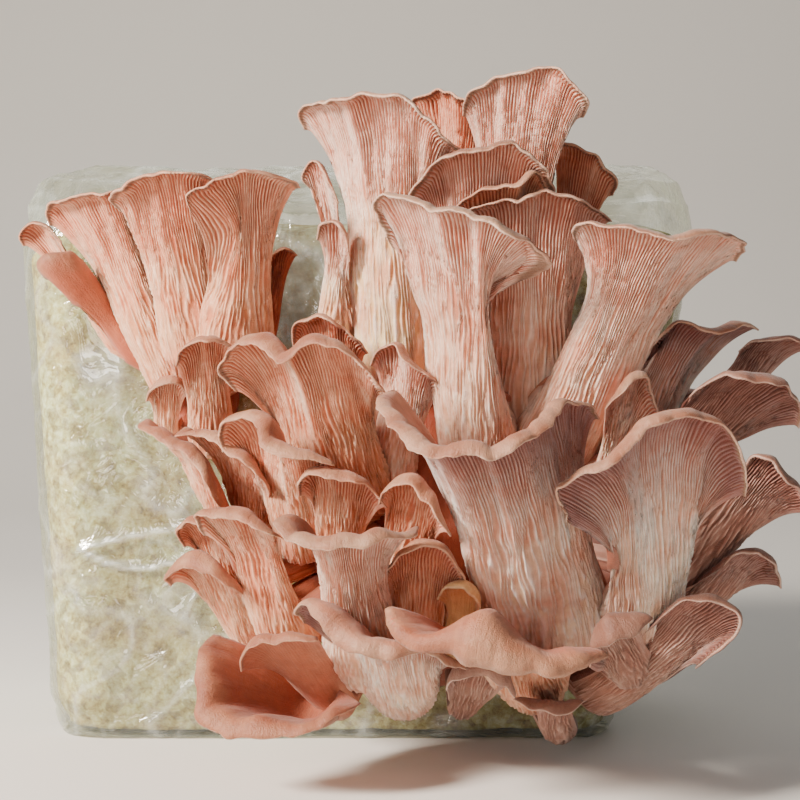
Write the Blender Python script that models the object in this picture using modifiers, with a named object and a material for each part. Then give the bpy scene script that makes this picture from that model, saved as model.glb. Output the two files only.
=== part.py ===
"""Oyster mushroom grow bag: a clear bag round a straw block, with a cluster of pink caps on its front.

Metres, Z up, X to the right, Y into the bag. The origin is on the floor under the middle of the bag.
"""

import math
from dataclasses import dataclass

import bmesh
import bpy
import numpy as np
from mathutils import Matrix, Vector
from mathutils.bvhtree import BVHTree

MM = 0.001
GAP = 0.3 * MM

# Driving sizes of the bag
BAG_WIDTH = 246 * MM
BAG_DEPTH = 130 * MM
BLOCK_TOP = 186 * MM
FILM = 0.6 * MM
BAG_FOOT_LEFT = 111 * MM
BAG_FOOT_RIGHT = 94 * MM
BAG_CORNER = 24 * MM
BAG_CELL = 40 * MM
OPENING_ROOM = 3 * MM
OPENING_DEPTH = 16 * MM
BAG_ROWS = (
    (0, 0.97, 0.95),
    (8 * MM, 1, 1),
    (90 * MM, 1, 1),
    (176 * MM, 1, 1),
    (189 * MM, 0.985, 0.96),
    (199 * MM, 0.965, 0.78),
    (206 * MM, 0.93, 0.45),
    (210 * MM, 0.90, 0.15),
)
BLOCK_ROWS = (
    (FILM + GAP, 0.96, 0.94),
    (10 * MM, 1, 1),
    (90 * MM, 1, 1),
    (170 * MM, 1, 1),
    (181 * MM, 0.96, 0.90),
    (BLOCK_TOP - 1 * MM, 0.88, 0.70),
)

# The cluster's outlines are read from the front: picture steps right and down, and how many
# millimetres the point stands in front of the bag. This is the viewpoint they are read from.
SIGHT_X = 15 * MM
SIGHT_Z = 119 * MM
SIGHT_DISTANCE = 550 * MM
SIGHT_CENTRE = 400
SIGHT_FOCUS = 1576
FACE_Y = -BAG_DEPTH / 2

# The knots of tissue that the caps grow from
MAIN_KNOT = ((28 * MM, FACE_Y, 78 * MM), (52 * MM, 46 * MM, 58 * MM))
LEFT_KNOT = ((-56 * MM, FACE_Y, 121 * MM), (15 * MM, 15 * MM, 20 * MM))

LIP_SPAN = 0.14
FOOT_SHARE = 0.75
OUTGROWTH = 0.7
RING_PULL = 0.5
FOLD_REACH = 20 * MM
CLEARANCE = 0.6 * MM
SHARPEST = 3
SHARP = math.radians(50)
CHANNEL_SPAN = 0.4
# The sheets touch themselves in their folds, where the default solver leaves crumbs
SHEET_SOLVER = "MANIFOLD"


@dataclass(frozen=True)
class FruitBody:
    """One stem and cap: a sheet rolled round its stem and opening into a fan or a funnel.

    rim: points along the cap's edge, from its left end to its right end.
    base, radius: where the stem starts, and its radius in millimetres.
    facing, wrap: the way the gills face, 0 to the front and 90 to the right, and how far round the
    stem the cap reaches, in degrees.
    flare: the wall's slope near the rim in degrees, 90 going straight on from the stem.
    curl, roll: the length of the rolled rim in millimetres, and the slope it ends with.
    thick: the flesh's thickness in millimetres.
    straight: 0 for a trumpet, 1 for a wall that runs straight from the stem to the rim.
    flat: the stem's depth over its width.
    knot: the lump that it grows from.
    cells: squares along the rim and up the wall.
    """

    name: str
    rim: tuple
    base: tuple
    radius: float
    facing: float = 0
    wrap: float = 190
    flare: float = 60
    curl: float = 5
    roll: float = 10
    thick: float = 4
    straight: float = 0.7
    flat: float = 1.0
    knot: tuple = MAIN_KNOT
    cells: tuple = (8, 4)


FRUIT_BODIES = (
    # Upper left group
    FruitBody(
        "upper_left_edge_fan",
        rim=((50, 226, 22), (44, 211, 27), (60, 203, 33), (80, 197, 37), (100, 194, 40), (120, 193, 40),
             (132, 199, 36), (138, 212, 30)),
        base=(172, 378, 16), radius=8.5, facing=-10, wrap=170, flare=72, curl=5, roll=20, straight=0.9,
        knot=LEFT_KNOT, cells=(7, 3),
    ),
    FruitBody(
        "upper_left_flap",
        rim=((24, 246, 12), (20, 234, 14), (30, 226, 17), (46, 229, 18), (62, 242, 16)),
        base=(118, 345, 8), radius=3.5, facing=-30, wrap=150, flare=60, curl=3, thick=3.5, cells=(5, 2),
        knot=LEFT_KNOT,
    ),
    FruitBody(
        "left_spatula",
        rim=((88, 270, 22), (76, 256, 28), (60, 252, 32), (45, 257, 33), (38, 266, 32), (46, 278, 29)),
        base=(136, 352, 12), radius=5, facing=200, wrap=120, flare=60, curl=3, roll=30,
        thick=3, knot=LEFT_KNOT, cells=(6, 2),
    ),
    FruitBody(
        "upper_left_tall_fan",
        rim=((120, 212, 40), (109, 202, 44), (118, 191, 50), (135, 182, 54), (155, 176, 57),
             (180, 173, 58), (200, 174, 57), (214, 181, 52)),
        base=(197, 352, 26), radius=11, facing=-5, wrap=180, flare=74, curl=6, roll=15, straight=1.0,
        knot=LEFT_KNOT, cells=(7, 3), flat=0.75,
    ),
    FruitBody(
        "upper_middle_fan",
        rim=((190, 212, 60), (189, 196, 63), (205, 186, 67), (226, 180, 69), (250, 174, 69),
             (272, 178, 65), (290, 179, 60), (299, 188, 53)),
        base=(236, 352, 30), radius=13, facing=8, wrap=190, flare=72, curl=6, roll=15, cells=(8, 3),
        straight=1.0, knot=LEFT_KNOT, flat=0.75,
    ),
    FruitBody(
        "shaded_bud",
        rim=((266, 266, 24), (274, 254, 28), (286, 250, 29), (297, 256, 26)),
        base=(262, 350, 14), radius=4, facing=10, wrap=150, flare=75, curl=2, thick=4, cells=(4, 2),
        knot=LEFT_KNOT,
    ),
    FruitBody(
        "left_cup",
        rim=((176, 366, 47), (181, 353, 52), (192, 345, 56), (206, 343, 58), (222, 344, 57),
             (236, 350, 51)),
        base=(212, 436, 24), radius=8, facing=0, wrap=190, flare=70, curl=5, roll=20, cells=(6, 2),
        knot=LEFT_KNOT,
    ),
    FruitBody(
        "left_knob",
        rim=((146, 402, 28), (152, 390, 33), (166, 384, 35), (180, 388, 34), (188, 398, 29)),
        base=(166, 430, 16), radius=4.5, facing=-10, wrap=170, flare=60, curl=3, thick=5, cells=(5, 2),
        knot=LEFT_KNOT,
    ),
    # Centre left group
    FruitBody(
        "centre_left_fan",
        rim=((236, 392, 66), (221, 374, 70), (228, 354, 76), (246, 343, 82), (262, 347, 87),
             (280, 364, 92), (302, 351, 96), (325, 346, 98), (350, 357, 97), (374, 380, 92),
             (388, 402, 84)),
        base=(352, 500, 44), radius=15, facing=-8, wrap=200, flare=52, curl=6, roll=-5, cells=(10, 3),
        flat=0.7, straight=0.85,
    ),
    FruitBody(
        "centre_left_back_fan",
        rim=((294, 350, 50), (294, 330, 55), (304, 320, 60), (320, 319, 63), (338, 328, 64),
             (356, 340, 62), (368, 354, 56)),
        base=(350, 452, 34), radius=8, facing=-5, wrap=180, flare=66, curl=4, cells=(6, 2),
        straight=0.8,
    ),
    FruitBody(
        "centre_back_fan",
        rim=((371, 366, 60), (378, 352, 64), (392, 347, 68), (404, 358, 71), (420, 370, 72),
             (434, 383, 69), (440, 400, 62)),
        base=(398, 468, 42), radius=8, facing=5, wrap=180, flare=66, curl=4, cells=(6, 2), straight=0.8,
    ),
    # Top group
    FruitBody(
        "tall_funnel",
        rim=((305, 130, 46), (299, 115, 50), (306, 107, 57), (322, 105, 64), (342, 100, 70),
             (362, 96, 74), (384, 97, 77), (404, 101, 79), (424, 116, 79), (440, 136, 78),
             (456, 146, 74), (468, 156, 66)),
        base=(396, 376, 30), radius=13, facing=0, wrap=215, flare=62, curl=6, roll=0, cells=(10, 3),
        straight=0.6,
    ),
    FruitBody(
        "narrow_fan",
        rim=((310, 190, 38), (301, 178, 41), (306, 166, 44), (316, 168, 46), (328, 184, 47),
             (338, 204, 45)),
        base=(350, 330, 26), radius=4.5, facing=-20, wrap=150, flare=72, curl=3, thick=3, cells=(6, 2),
    ),
    FruitBody(
        "yellow_bud",
        rim=((317, 240, 50), (322, 226, 54), (333, 223, 56), (343, 238, 56), (350, 262, 52)),
        base=(334, 338, 36), radius=5.5, facing=-10, wrap=170, flare=78, curl=3, thick=5, cells=(5, 2),
    ),
    FruitBody(
        "top_back_fan",
        rim=((412, 116, 36), (412, 102, 41), (430, 95, 46), (442, 90, 50), (458, 99, 53), (476, 105, 55),
             (490, 114, 54), (499, 134, 48)),
        base=(450, 330, 26), radius=8, facing=0, wrap=170, flare=70, curl=4, roll=20, cells=(6, 2),
    ),
    FruitBody(
        "top_front_fan",
        rim=((410, 214, 66), (411, 196, 71), (424, 177, 78), (444, 160, 84), (470, 154, 87),
             (492, 152, 88), (512, 146, 88), (534, 160, 86), (549, 180, 80), (554, 200, 73)),
        base=(478, 388, 40), radius=13, facing=0, wrap=200, flare=64, curl=6, roll=0, cells=(8, 2),
        straight=0.8,
    ),
    FruitBody(
        "top_inner_fan",
        rim=((456, 214, 74), (462, 202, 79), (486, 192, 83), (512, 187, 85), (528, 178, 85),
             (538, 172, 83), (548, 190, 76)),
        base=(498, 400, 42), radius=7, facing=0, wrap=180, flare=66, curl=4, cells=(6, 2),
        straight=0.8,
    ),
    FruitBody(
        "top_right_fan",
        rim=((462, 116, 52), (464, 100, 57), (482, 87, 63), (504, 77, 69), (528, 75, 73), (551, 69, 76),
             (570, 83, 77), (588, 103, 75), (584, 118, 68)),
        base=(492, 326, 34), radius=9, facing=6, wrap=185, flare=68, curl=5, roll=10, cells=(8, 3),
        straight=0.8,
    ),
    FruitBody(
        "right_back_fan",
        rim=((552, 156, 40), (558, 145, 44), (576, 147, 48), (592, 155, 50), (604, 169, 50),
             (616, 182, 47), (613, 196, 40)),
        base=(548, 330, 24), radius=5.5, facing=15, wrap=170, flare=70, curl=4, cells=(6, 2),
    ),
    FruitBody(
        "front_left_fan",
        rim=((392, 248, 76), (378, 222, 82), (374, 202, 88), (390, 197, 94), (410, 204, 99),
             (440, 209, 104), (474, 221, 108), (506, 234, 110), (534, 248, 107), (546, 264, 98),
             (540, 280, 88)),
        base=(484, 450, 50), radius=14, facing=0, wrap=215, flare=62, curl=4.5, roll=5, straight=0.85,
        cells=(11, 3),
    ),
    FruitBody(
        "front_right_fan",
        rim=((590, 258, 76), (577, 246, 83), (570, 234, 90), (586, 226, 97), (610, 228, 101),
             (640, 232, 103), (672, 238, 104), (702, 239, 103), (730, 240, 99), (746, 247, 91),
             (736, 262, 82)),
        base=(548, 450, 50), radius=14, facing=8, wrap=205, flare=62, curl=4.5, roll=5, straight=0.85,
        cells=(11, 3),
    ),
    FruitBody(
        "top_middle_fan",
        rim=((470, 234, 72), (466, 216, 77), (490, 205, 81), (520, 200, 84), (546, 197, 85),
             (574, 201, 84), (596, 210, 81), (612, 222, 74)),
        base=(520, 440, 42), radius=15, facing=5, wrap=170, flare=68, curl=5, cells=(8, 2), flat=0.6,
    ),
    # Right group
    FruitBody(
        "right_upper_lip",
        rim=((640, 362, 54), (658, 342, 60), (678, 324, 65), (698, 330, 68), (720, 333, 69),
             (744, 325, 66), (758, 331, 59)),
        base=(600, 450, 38), radius=16, facing=25, wrap=160, flare=60, curl=4, cells=(7, 3),
        straight=0.8,
    ),
    FruitBody(
        "right_outer_lip",
        rim=((738, 352, 54), (752, 343, 59), (774, 339, 62), (798, 339, 62), (816, 350, 56)),
        base=(690, 420, 34), radius=11, thick=3, facing=20, wrap=150, flare=60, curl=2, roll=15,
        straight=0.3, cells=(5, 2),
    ),
    FruitBody(
        "right_middle_fan",
        rim=((690, 398, 74), (702, 388, 79), (726, 380, 83), (756, 378, 84), (784, 388, 81),
             (800, 408, 74), (798, 428, 66)),
        base=(626, 478, 44), radius=14, facing=30, wrap=170, flare=60, curl=4, roll=0, cells=(7, 3),
        straight=0.8,
    ),
    FruitBody(
        "finger_cap",
        rim=((606, 410, 84), (616, 396, 87), (632, 381, 88), (645, 378, 86), (650, 392, 82),
             (660, 426, 78)),
        base=(606, 462, 60), radius=3.5, facing=10, wrap=160, flare=60, curl=3, thick=4, cells=(5, 2),
    ),
    FruitBody(
        "front_funnel",
        rim=((392, 392, 88), (377, 402, 98), (386, 420, 108), (400, 437, 117), (418, 452, 123),
             (440, 458, 126), (466, 453, 128), (490, 462, 129), (512, 452, 128), (534, 438, 125),
             (552, 420, 119), (572, 406, 112), (590, 408, 104), (600, 420, 96)),
        base=(553, 630, 56), radius=21, facing=-18, wrap=225, flare=58, curl=5, roll=-10, cells=(12, 4),
        flat=0.5, straight=0.85,
    ),
    FruitBody(
        "right_front_fan",
        rim=((584, 530, 106), (562, 510, 112), (558, 492, 116), (576, 477, 119), (604, 468, 120),
             (630, 451, 120), (656, 430, 118), (682, 416, 115), (706, 420, 112), (732, 437, 108),
             (742, 466, 103), (744, 496, 96)),
        base=(634, 618, 60), radius=13, facing=14, wrap=200, flare=52, curl=4, roll=0, cells=(10, 3),
        flat=0.8, straight=0.5,
    ),
    FruitBody(
        "right_lower_fan",
        rim=((744, 470, 76), (756, 456, 82), (772, 461, 86), (786, 482, 86), (804, 500, 82),
             (812, 518, 74)),
        base=(672, 556, 46), radius=15, facing=35, wrap=170, flare=60, curl=5, cells=(6, 3),
        straight=0.8,
    ),
    FruitBody(
        "right_under_fan",
        rim=((724, 566, 66), (738, 553, 70), (757, 557, 70), (776, 571, 66), (780, 588, 58)),
        base=(672, 602, 42), radius=12, facing=35, wrap=160, flare=60, curl=3, cells=(5, 2),
        straight=0.5,
    ),
    # Lower left group
    FruitBody(
        "left_rolled_fan",
        rim=((224, 452, 66), (222, 428, 72), (238, 420, 78), (256, 428, 83), (262, 446, 88),
             (284, 456, 91), (310, 461, 92), (334, 466, 90)),
        base=(304, 538, 48), radius=9, facing=-25, wrap=180, flare=55, curl=6, roll=-10, cells=(7, 2),
        straight=0.8,
    ),
    FruitBody(
        "left_long_fan",
        rim=((146, 420, 44), (140, 427, 50), (152, 434, 56), (167, 446, 60), (184, 455, 63),
             (197, 470, 65), (205, 488, 66), (222, 512, 63)),
        base=(238, 534, 30), radius=7, facing=-45, wrap=160, flare=65, curl=4, roll=0, straight=0.9,
        cells=(8, 3),
    ),
    FruitBody(
        "left_inner_fan",
        rim=((186, 428, 54), (180, 434, 58), (196, 434, 62), (218, 444, 66), (240, 460, 69),
             (256, 476, 70), (268, 494, 68)),
        base=(256, 520, 30), radius=5.5, facing=-40, wrap=160, flare=62, curl=4, straight=0.9,
        cells=(6, 2),
    ),
    FruitBody(
        "left_fist",
        rim=((300, 496, 82), (301, 482, 87), (318, 475, 90), (342, 480, 92), (366, 490, 92),
             (386, 508, 87)),
        base=(340, 548, 58), radius=7, facing=-5, wrap=180, flare=60, curl=4, cells=(6, 2),
        straight=0.8,
    ),
    FruitBody(
        "middle_fan",
        rim=((378, 506, 88), (386, 490, 94), (402, 486, 98), (420, 496, 100), (436, 516, 100),
             (450, 536, 95)),
        base=(398, 566, 58), radius=8, facing=0, wrap=180, flare=52, curl=5, cells=(6, 2), straight=0.8,
    ),
    FruitBody(
        "left_front_funnel",
        rim=((292, 516, 88), (278, 520, 97), (288, 538, 104), (308, 549, 109), (334, 551, 112),
             (360, 546, 112), (384, 537, 110), (408, 537, 104), (418, 528, 95)),
        base=(366, 652, 54), radius=13, facing=-8, wrap=215, flare=56, curl=5, roll=-10, cells=(9, 3),
        straight=0.5,
    ),
    FruitBody(
        "left_lower_fan",
        rim=((204, 536, 68), (192, 522, 74), (212, 516, 80), (238, 516, 84), (254, 527, 87),
             (272, 534, 87), (284, 540, 82)),
        base=(292, 636, 44), radius=11, facing=-30, wrap=190, flare=58, curl=5, roll=-5, cells=(7, 3),
        straight=0.85, flat=0.8,
    ),
    FruitBody(
        "left_far_fan",
        rim=((172, 586, 50), (168, 576, 55), (182, 571, 60), (202, 572, 64), (222, 581, 65),
             (242, 594, 62)),
        base=(244, 630, 34), radius=6, facing=-35, wrap=160, flare=60, curl=6, roll=-20,
        straight=0.9, cells=(6, 2),
    ),
    FruitBody(
        "left_side_fan",
        rim=((184, 548, 44), (178, 532, 49), (188, 524, 54), (204, 530, 58), (220, 546, 58)),
        base=(236, 590, 32), radius=5.5, facing=-40, wrap=150, flare=58, curl=3, straight=0.9,
        cells=(5, 2),
    ),
    FruitBody(
        "centre_lower_fan",
        rim=((388, 592, 78), (386, 575, 84), (398, 562, 88), (420, 549, 90), (442, 552, 90),
             (460, 571, 86), (466, 592, 78)),
        base=(416, 642, 54), radius=9.5, facing=0, wrap=190, flare=66, curl=4, cells=(7, 2),
    ),
    FruitBody(
        "yellow_bulge",
        rim=((438, 600, 80), (447, 589, 85), (462, 588, 87), (476, 600, 85), (480, 618, 79)),
        base=(462, 644, 60), radius=7, facing=0, wrap=180, flare=80, curl=4, roll=20, thick=6,
        cells=(5, 2),
    ),
    # Bottom group
    FruitBody(
        "bottom_front_lip",
        rim=((386, 610, 100), (392, 632, 106), (420, 650, 112), (450, 658, 116), (484, 666, 118),
             (516, 673, 119), (548, 675, 118), (578, 667, 115), (608, 656, 108)),
        base=(536, 686, 40), radius=10, facing=0, wrap=190, flare=55, curl=11, roll=-40, cells=(10, 3),
    ),
    FruitBody(
        "bottom_left_fan",
        rim=((304, 624, 82), (296, 612, 90), (310, 607, 97), (324, 622, 102), (344, 645, 106),
             (372, 659, 108), (400, 658, 108), (424, 654, 106), (446, 664, 100), (466, 670, 90)),
        base=(402, 684, 50), radius=12, facing=-10, wrap=205, flare=55, curl=6, roll=-15, cells=(9, 3),
        straight=0.75,
    ),
    FruitBody(
        "bottom_left_lip",
        rim=((242, 672, 74), (244, 656, 80), (266, 647, 85), (292, 642, 88), (318, 641, 88)),
        base=(336, 696, 46), radius=8, facing=-25, wrap=170, flare=58, curl=4, cells=(6, 2),
        straight=0.85,
    ),
    FruitBody(
        "bottom_left_bowl",
        rim=((214, 636, 58), (198, 652, 66), (195, 680, 73), (200, 712, 79), (222, 734, 84),
             (254, 738, 88), (286, 740, 90), (318, 732, 90), (346, 716, 86), (360, 704, 78)),
        base=(340, 690, 34), radius=7, facing=-25, wrap=200, flare=88, curl=6, roll=20,
        straight=0.4, cells=(9, 3),
    ),
    FruitBody(
        "bottom_middle_fan",
        rim=((447, 690, 80), (452, 681, 85), (474, 676, 88), (500, 682, 88), (514, 698, 83)),
        base=(462, 706, 30), radius=5, facing=0, wrap=160, flare=60, curl=5, roll=-40, cells=(5, 2),
    ),
    FruitBody(
        "bottom_under_lip",
        rim=((514, 700, 76), (530, 708, 80), (550, 712, 82), (570, 712, 80), (584, 702, 76)),
        base=(560, 728, 34), radius=6, facing=5, wrap=160, flare=60, curl=3, roll=20,
        straight=0.9, cells=(5, 2),
    ),
    FruitBody(
        "bottom_right_roll",
        rim=((590, 668, 96), (596, 654, 102), (612, 644, 106), (632, 634, 107), (652, 618, 104)),
        base=(630, 664, 56), radius=8, facing=15, wrap=170, flare=60, curl=5, cells=(5, 2),
    ),
    FruitBody(
        "bottom_right_fan",
        rim=((664, 616, 82), (684, 603, 88), (712, 601, 91), (738, 613, 90), (736, 632, 87),
             (716, 650, 83), (694, 668, 78)),
        base=(598, 684, 38), radius=13, thick=3.5, facing=0, wrap=100, flare=65, curl=4, roll=0,
        straight=0.6, flat=0.7, cells=(8, 3),
    ),
)


def seen(point: tuple) -> Vector:
    """The real place of a point read from the front: (steps right, steps down, millimetres forward)."""
    right, down, forward = point
    distance = SIGHT_DISTANCE - forward * MM
    return Vector(
        (
            SIGHT_X + (right - SIGHT_CENTRE) * distance / SIGHT_FOCUS,
            FACE_Y - forward * MM,
            SIGHT_Z + (SIGHT_CENTRE - down) * distance / SIGHT_FOCUS,
        )
    )


def spline(points: np.ndarray, along: np.ndarray) -> np.ndarray:
    """Points of a smooth curve through the given ones, at shares of its length."""
    steps = np.sqrt(np.linalg.norm(np.diff(points, axis=0), axis=1))
    knots = np.concatenate([[0], np.cumsum(steps)])
    chords = np.diff(points, axis=0) / np.diff(knots)[:, None]
    slopes = np.concatenate([chords[:1], (chords[1:] + chords[:-1]) / 2, chords[-1:]])
    lengths = np.concatenate([[0], np.cumsum(steps**2)])
    place = np.interp(along * lengths[-1], lengths, knots)
    index = np.clip(np.searchsorted(knots, place, side="right") - 1, 0, len(points) - 2)
    span = np.diff(knots)[index][:, None]
    t = (place - knots[index])[:, None] / span
    return (
        (1 + 2 * t) * (1 - t) ** 2 * points[index]
        + t * (1 - t) ** 2 * span * slopes[index]
        + t**2 * (3 - 2 * t) * points[index + 1]
        - t**2 * (1 - t) * span * slopes[index + 1]
    )


def unit(vectors: np.ndarray) -> np.ndarray:
    """The vectors at length one."""
    return vectors / (np.linalg.norm(vectors, axis=-1, keepdims=True) + 1e-12)


def smooth_step(values: np.ndarray) -> np.ndarray:
    """0 to 1 with flat ends."""
    held = np.clip(values, 0, 1)
    return held * held * (3 - 2 * held)


def ring_directions(body: FruitBody, u: np.ndarray) -> np.ndarray:
    """Level directions round the stem, from the cap's left end to its right end."""
    turn = np.radians(body.facing + body.wrap * (u - 0.5))
    return np.stack([np.sin(turn), -np.cos(turn), np.zeros_like(turn)], axis=1)


def rim_frames(rim: np.ndarray, start: np.ndarray, fallback: np.ndarray) -> tuple:
    """At each rim point, the way the gills face and the way the wall climbs, square to each other."""
    climb = unit(rim - start)
    outward = np.cross(unit(np.gradient(rim, axis=0)), climb) + RING_PULL * fallback
    for _ in range(2):
        middle = (outward[:-2] + 2 * outward[1:-1] + outward[2:]) / 4
        outward = np.concatenate([outward[:1], middle, outward[-1:]])
    outward = unit(outward)
    climb = climb - (climb * outward).sum(axis=1)[:, None] * outward
    return outward, unit(climb)


def fold_room(rim: np.ndarray, outward: np.ndarray) -> np.ndarray:
    """1 where the rim bulges, less in a fold, where a rolled lip would run into the other side."""
    steps = np.gradient(rim, axis=0)
    spread = (np.gradient(outward, axis=0) * steps).sum(axis=1) / (steps**2).sum(axis=1)
    room = np.clip(1 + spread * FOLD_REACH, 0.12, 1)
    for _ in range(2):
        room = np.minimum(room, np.convolve(np.pad(room, 1, "edge"), (0.25, 0.5, 0.25), "valid"))
    return room


def stem_frames(body: FruitBody, rim_middle: np.ndarray) -> tuple:
    """Where the stem's ring stands and which way it points, and the same for its foot on the knot."""
    centre, radii = np.array(body.knot[0]), np.array(body.knot[1])
    offset = np.array(seen(body.base)) - centre
    depth = np.linalg.norm(offset / radii)
    start = centre + offset * max(1, 1.12 / depth)
    square = offset / depth / radii**2
    square = unit(square)
    foot = centre + offset / depth + square * GAP
    axis = unit(unit(rim_middle - start) + OUTGROWTH * unit(offset))
    tilt = Vector((0, 0, 1)).rotation_difference(Vector(axis)).to_matrix()
    foot_tilt = Vector(axis).rotation_difference(Vector(square)).to_matrix() @ tilt
    return start, axis, np.array(tilt), foot, np.array(foot_tilt)


def gill_side(body: FruitBody, u: np.ndarray, v: np.ndarray) -> tuple:
    """The outer surface as a grid, its outward directions, and the ring and axis of its stem.

    Each column is a cubic curve from the stem's ring to the rolled rim, then an arc for the roll.
    """
    rim = spline(np.array([seen(point) for point in body.rim]), u)
    round_stem = ring_directions(body, u)
    start, axis, tilt, foot, foot_tilt = stem_frames(body, rim.mean(axis=0))
    ring = start + body.radius * MM * (round_stem * (1, body.flat, 1)) @ tilt.T
    foot_ring = foot + body.radius * MM * FOOT_SHARE * (round_stem * (1, body.flat, 1)) @ foot_tilt.T
    outward, climb = rim_frames(rim, start, round_stem @ tilt.T)

    room = fold_room(rim, outward)[:, None]
    flare = math.pi / 2 - (math.pi / 2 - math.radians(body.flare)) * room
    roll = flare - math.radians(body.flare - body.roll) * room
    bend = body.curl * MM / math.radians(body.flare - body.roll)
    lip = bend * ((np.sin(flare) - np.sin(roll)) * outward + (np.cos(roll) - np.cos(flare)) * climb)
    wall_end = rim - lip
    run = wall_end - ring
    reach = np.linalg.norm(run, axis=1)[:, None]
    rise = outward * np.cos(flare) + climb * np.sin(flare)
    first = ring + 0.35 * (axis * reach * (1 - body.straight) + run * body.straight)
    last = wall_end - 0.3 * (rise * reach * (1 - body.straight / 2) + run * body.straight / 2)

    wall = np.clip(v / (1 - LIP_SPAN), 0, 1)[None, :, None]
    points = (
        (1 - wall) ** 3 * ring[:, None]
        + 3 * wall * (1 - wall) ** 2 * first[:, None]
        + 3 * wall**2 * (1 - wall) * last[:, None]
        + wall**3 * wall_end[:, None]
    )
    slope = flare - np.clip((v - 1 + LIP_SPAN) / LIP_SPAN, 0, 1)[None, :] * (flare - roll)
    points += (bend * (np.sin(flare) - np.sin(slope)))[:, :, None] * outward[:, None]
    points += (bend * (np.cos(slope) - np.cos(flare)))[:, :, None] * climb[:, None]
    normals = unit(np.cross(np.gradient(points, axis=0), np.gradient(points, axis=1)))
    normals[1:-1] = unit(normals[:-2] + 2 * normals[1:-1] + normals[2:])
    return points, normals, foot_ring


def fruit_mesh(body: FruitBody, grow: float = 0) -> bpy.types.Mesh:
    """The closed mesh of one fruit body, or of one that is larger all over by grow."""
    across, rows = body.cells
    u = np.linspace(0, 1, across + 1)
    v = np.append(np.linspace(0, 1 - LIP_SPAN, rows + 1), 1)
    outer, normals, foot_ring = gill_side(body, u, v)

    depth = body.thick * MM * np.sin(np.pi * np.clip(u, 0.08, 0.92))[:, None] ** 0.4
    depth = depth * (1 - 0.5 * v)[None, :]
    inner = outer - normals * depth[:, :, None]
    rest = np.radians(body.facing - body.wrap / 2 - (360 - body.wrap) * u)
    rest = np.stack([np.sin(rest), -np.cos(rest), np.zeros_like(rest)], axis=1) * (1, body.flat, 1)
    start, _, tilt, foot, foot_tilt = stem_frames(body, outer[:, -1].mean(axis=0))
    ring = start + body.radius * MM * rest @ tilt.T
    share = smooth_step(v / CHANNEL_SPAN)[None, :, None]
    middle = outer.mean(axis=0) - outer.mean(axis=0)[0]
    inner = (ring[:, None] + middle[None]) * (1 - share) + inner * share
    outer = np.concatenate([foot_ring[:, None], outer], axis=1)
    foot_ring = foot + body.radius * MM * FOOT_SHARE * rest @ foot_tilt.T
    inner = np.concatenate([foot_ring[:, None], inner], axis=1)

    mesh = bpy.data.meshes.new(body.name)
    bm = bmesh.new()
    front = [[bm.verts.new(point) for point in column] for column in outer]
    behind = [[None] * (len(v) + 1) for _ in u]
    for i in range(len(u)):
        for j in range(len(v) + 1):
            shared = i in (0, len(u) - 1) or j == len(v)
            behind[i][j] = front[i][j] if shared else bm.verts.new(inner[i, j])
    for i in range(len(u) - 1):
        for j in range(len(v)):
            quad = (front[i][j], front[i + 1][j], front[i + 1][j + 1], front[i][j + 1])
            bm.faces.new(quad)
            twin = (behind[i][j], behind[i][j + 1], behind[i + 1][j + 1], behind[i + 1][j])
            bm.faces.new(tuple(dict.fromkeys(twin)))
    foot = [column[0] for column in front] + [column[0] for column in behind[-2:0:-1]]
    bm.faces.new(tuple(reversed(foot)))
    bmesh.ops.recalc_face_normals(bm, faces=bm.faces)
    if bm.calc_volume(signed=True) < 0:
        bmesh.ops.reverse_faces(bm, faces=bm.faces)
    bmesh.ops.triangulate(bm, faces=bm.faces)
    if grow:
        bm.normal_update()
        moves = [v.normal * min(v.calc_shell_factor(), SHARPEST) * grow for v in bm.verts]
        for vertex, move in zip(bm.verts, moves):
            vertex.co += move
    bm.to_mesh(mesh)
    bm.free()
    return mesh


def bag_outline(inset: float) -> list:
    """Points round the bag where it is widest: a rectangle with round corners."""
    side, end, corner = BAG_WIDTH / 2 - inset, BAG_DEPTH / 2 - inset, BAG_CORNER - inset
    points = []
    for quarter, (right, back) in enumerate(((1, 1), (-1, 1), (-1, -1), (1, -1))):
        middle = Vector((right * (side - corner), back * (end - corner), 0))
        for step in range(4):
            turn = math.pi / 2 * (quarter + step / 3)
            points.append(middle + corner * Vector((math.cos(turn), math.sin(turn), 0)))
    spaced = []
    for i, point in enumerate(points):
        following = points[(i + 1) % len(points)]
        parts = max(1, round((following - point).length / BAG_CELL))
        spaced += [point.lerp(following, k / parts) for k in range(parts)]
    return spaced


def bag_rows(rows: tuple, inset: float) -> bpy.types.Mesh:
    """A closed mesh through level outlines: (height, share of the width, share of the depth)."""
    bm = bmesh.new()
    widest = bag_outline(inset)
    loops = []
    for height, wide, deep in rows:
        lean = 1 - min(height / BLOCK_TOP, 1)
        left = wide * (1 - lean * (1 - BAG_FOOT_LEFT / (BAG_WIDTH / 2)))
        right = wide * (1 - lean * (1 - BAG_FOOT_RIGHT / (BAG_WIDTH / 2)))
        loops.append(
            [bm.verts.new((p.x * (left if p.x < 0 else right), p.y * deep, height)) for p in widest]
        )
    count = len(widest)
    for lower, upper in zip(loops, loops[1:]):
        for i in range(count):
            k = (i + 1) % count
            bm.faces.new((lower[i], lower[k], upper[k], upper[i]))
    bm.faces.new(tuple(reversed(loops[0])))
    bm.faces.new(tuple(loops[-1]))
    mesh = bpy.data.meshes.new("bag")
    bm.to_mesh(mesh)
    bm.free()
    return mesh


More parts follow.
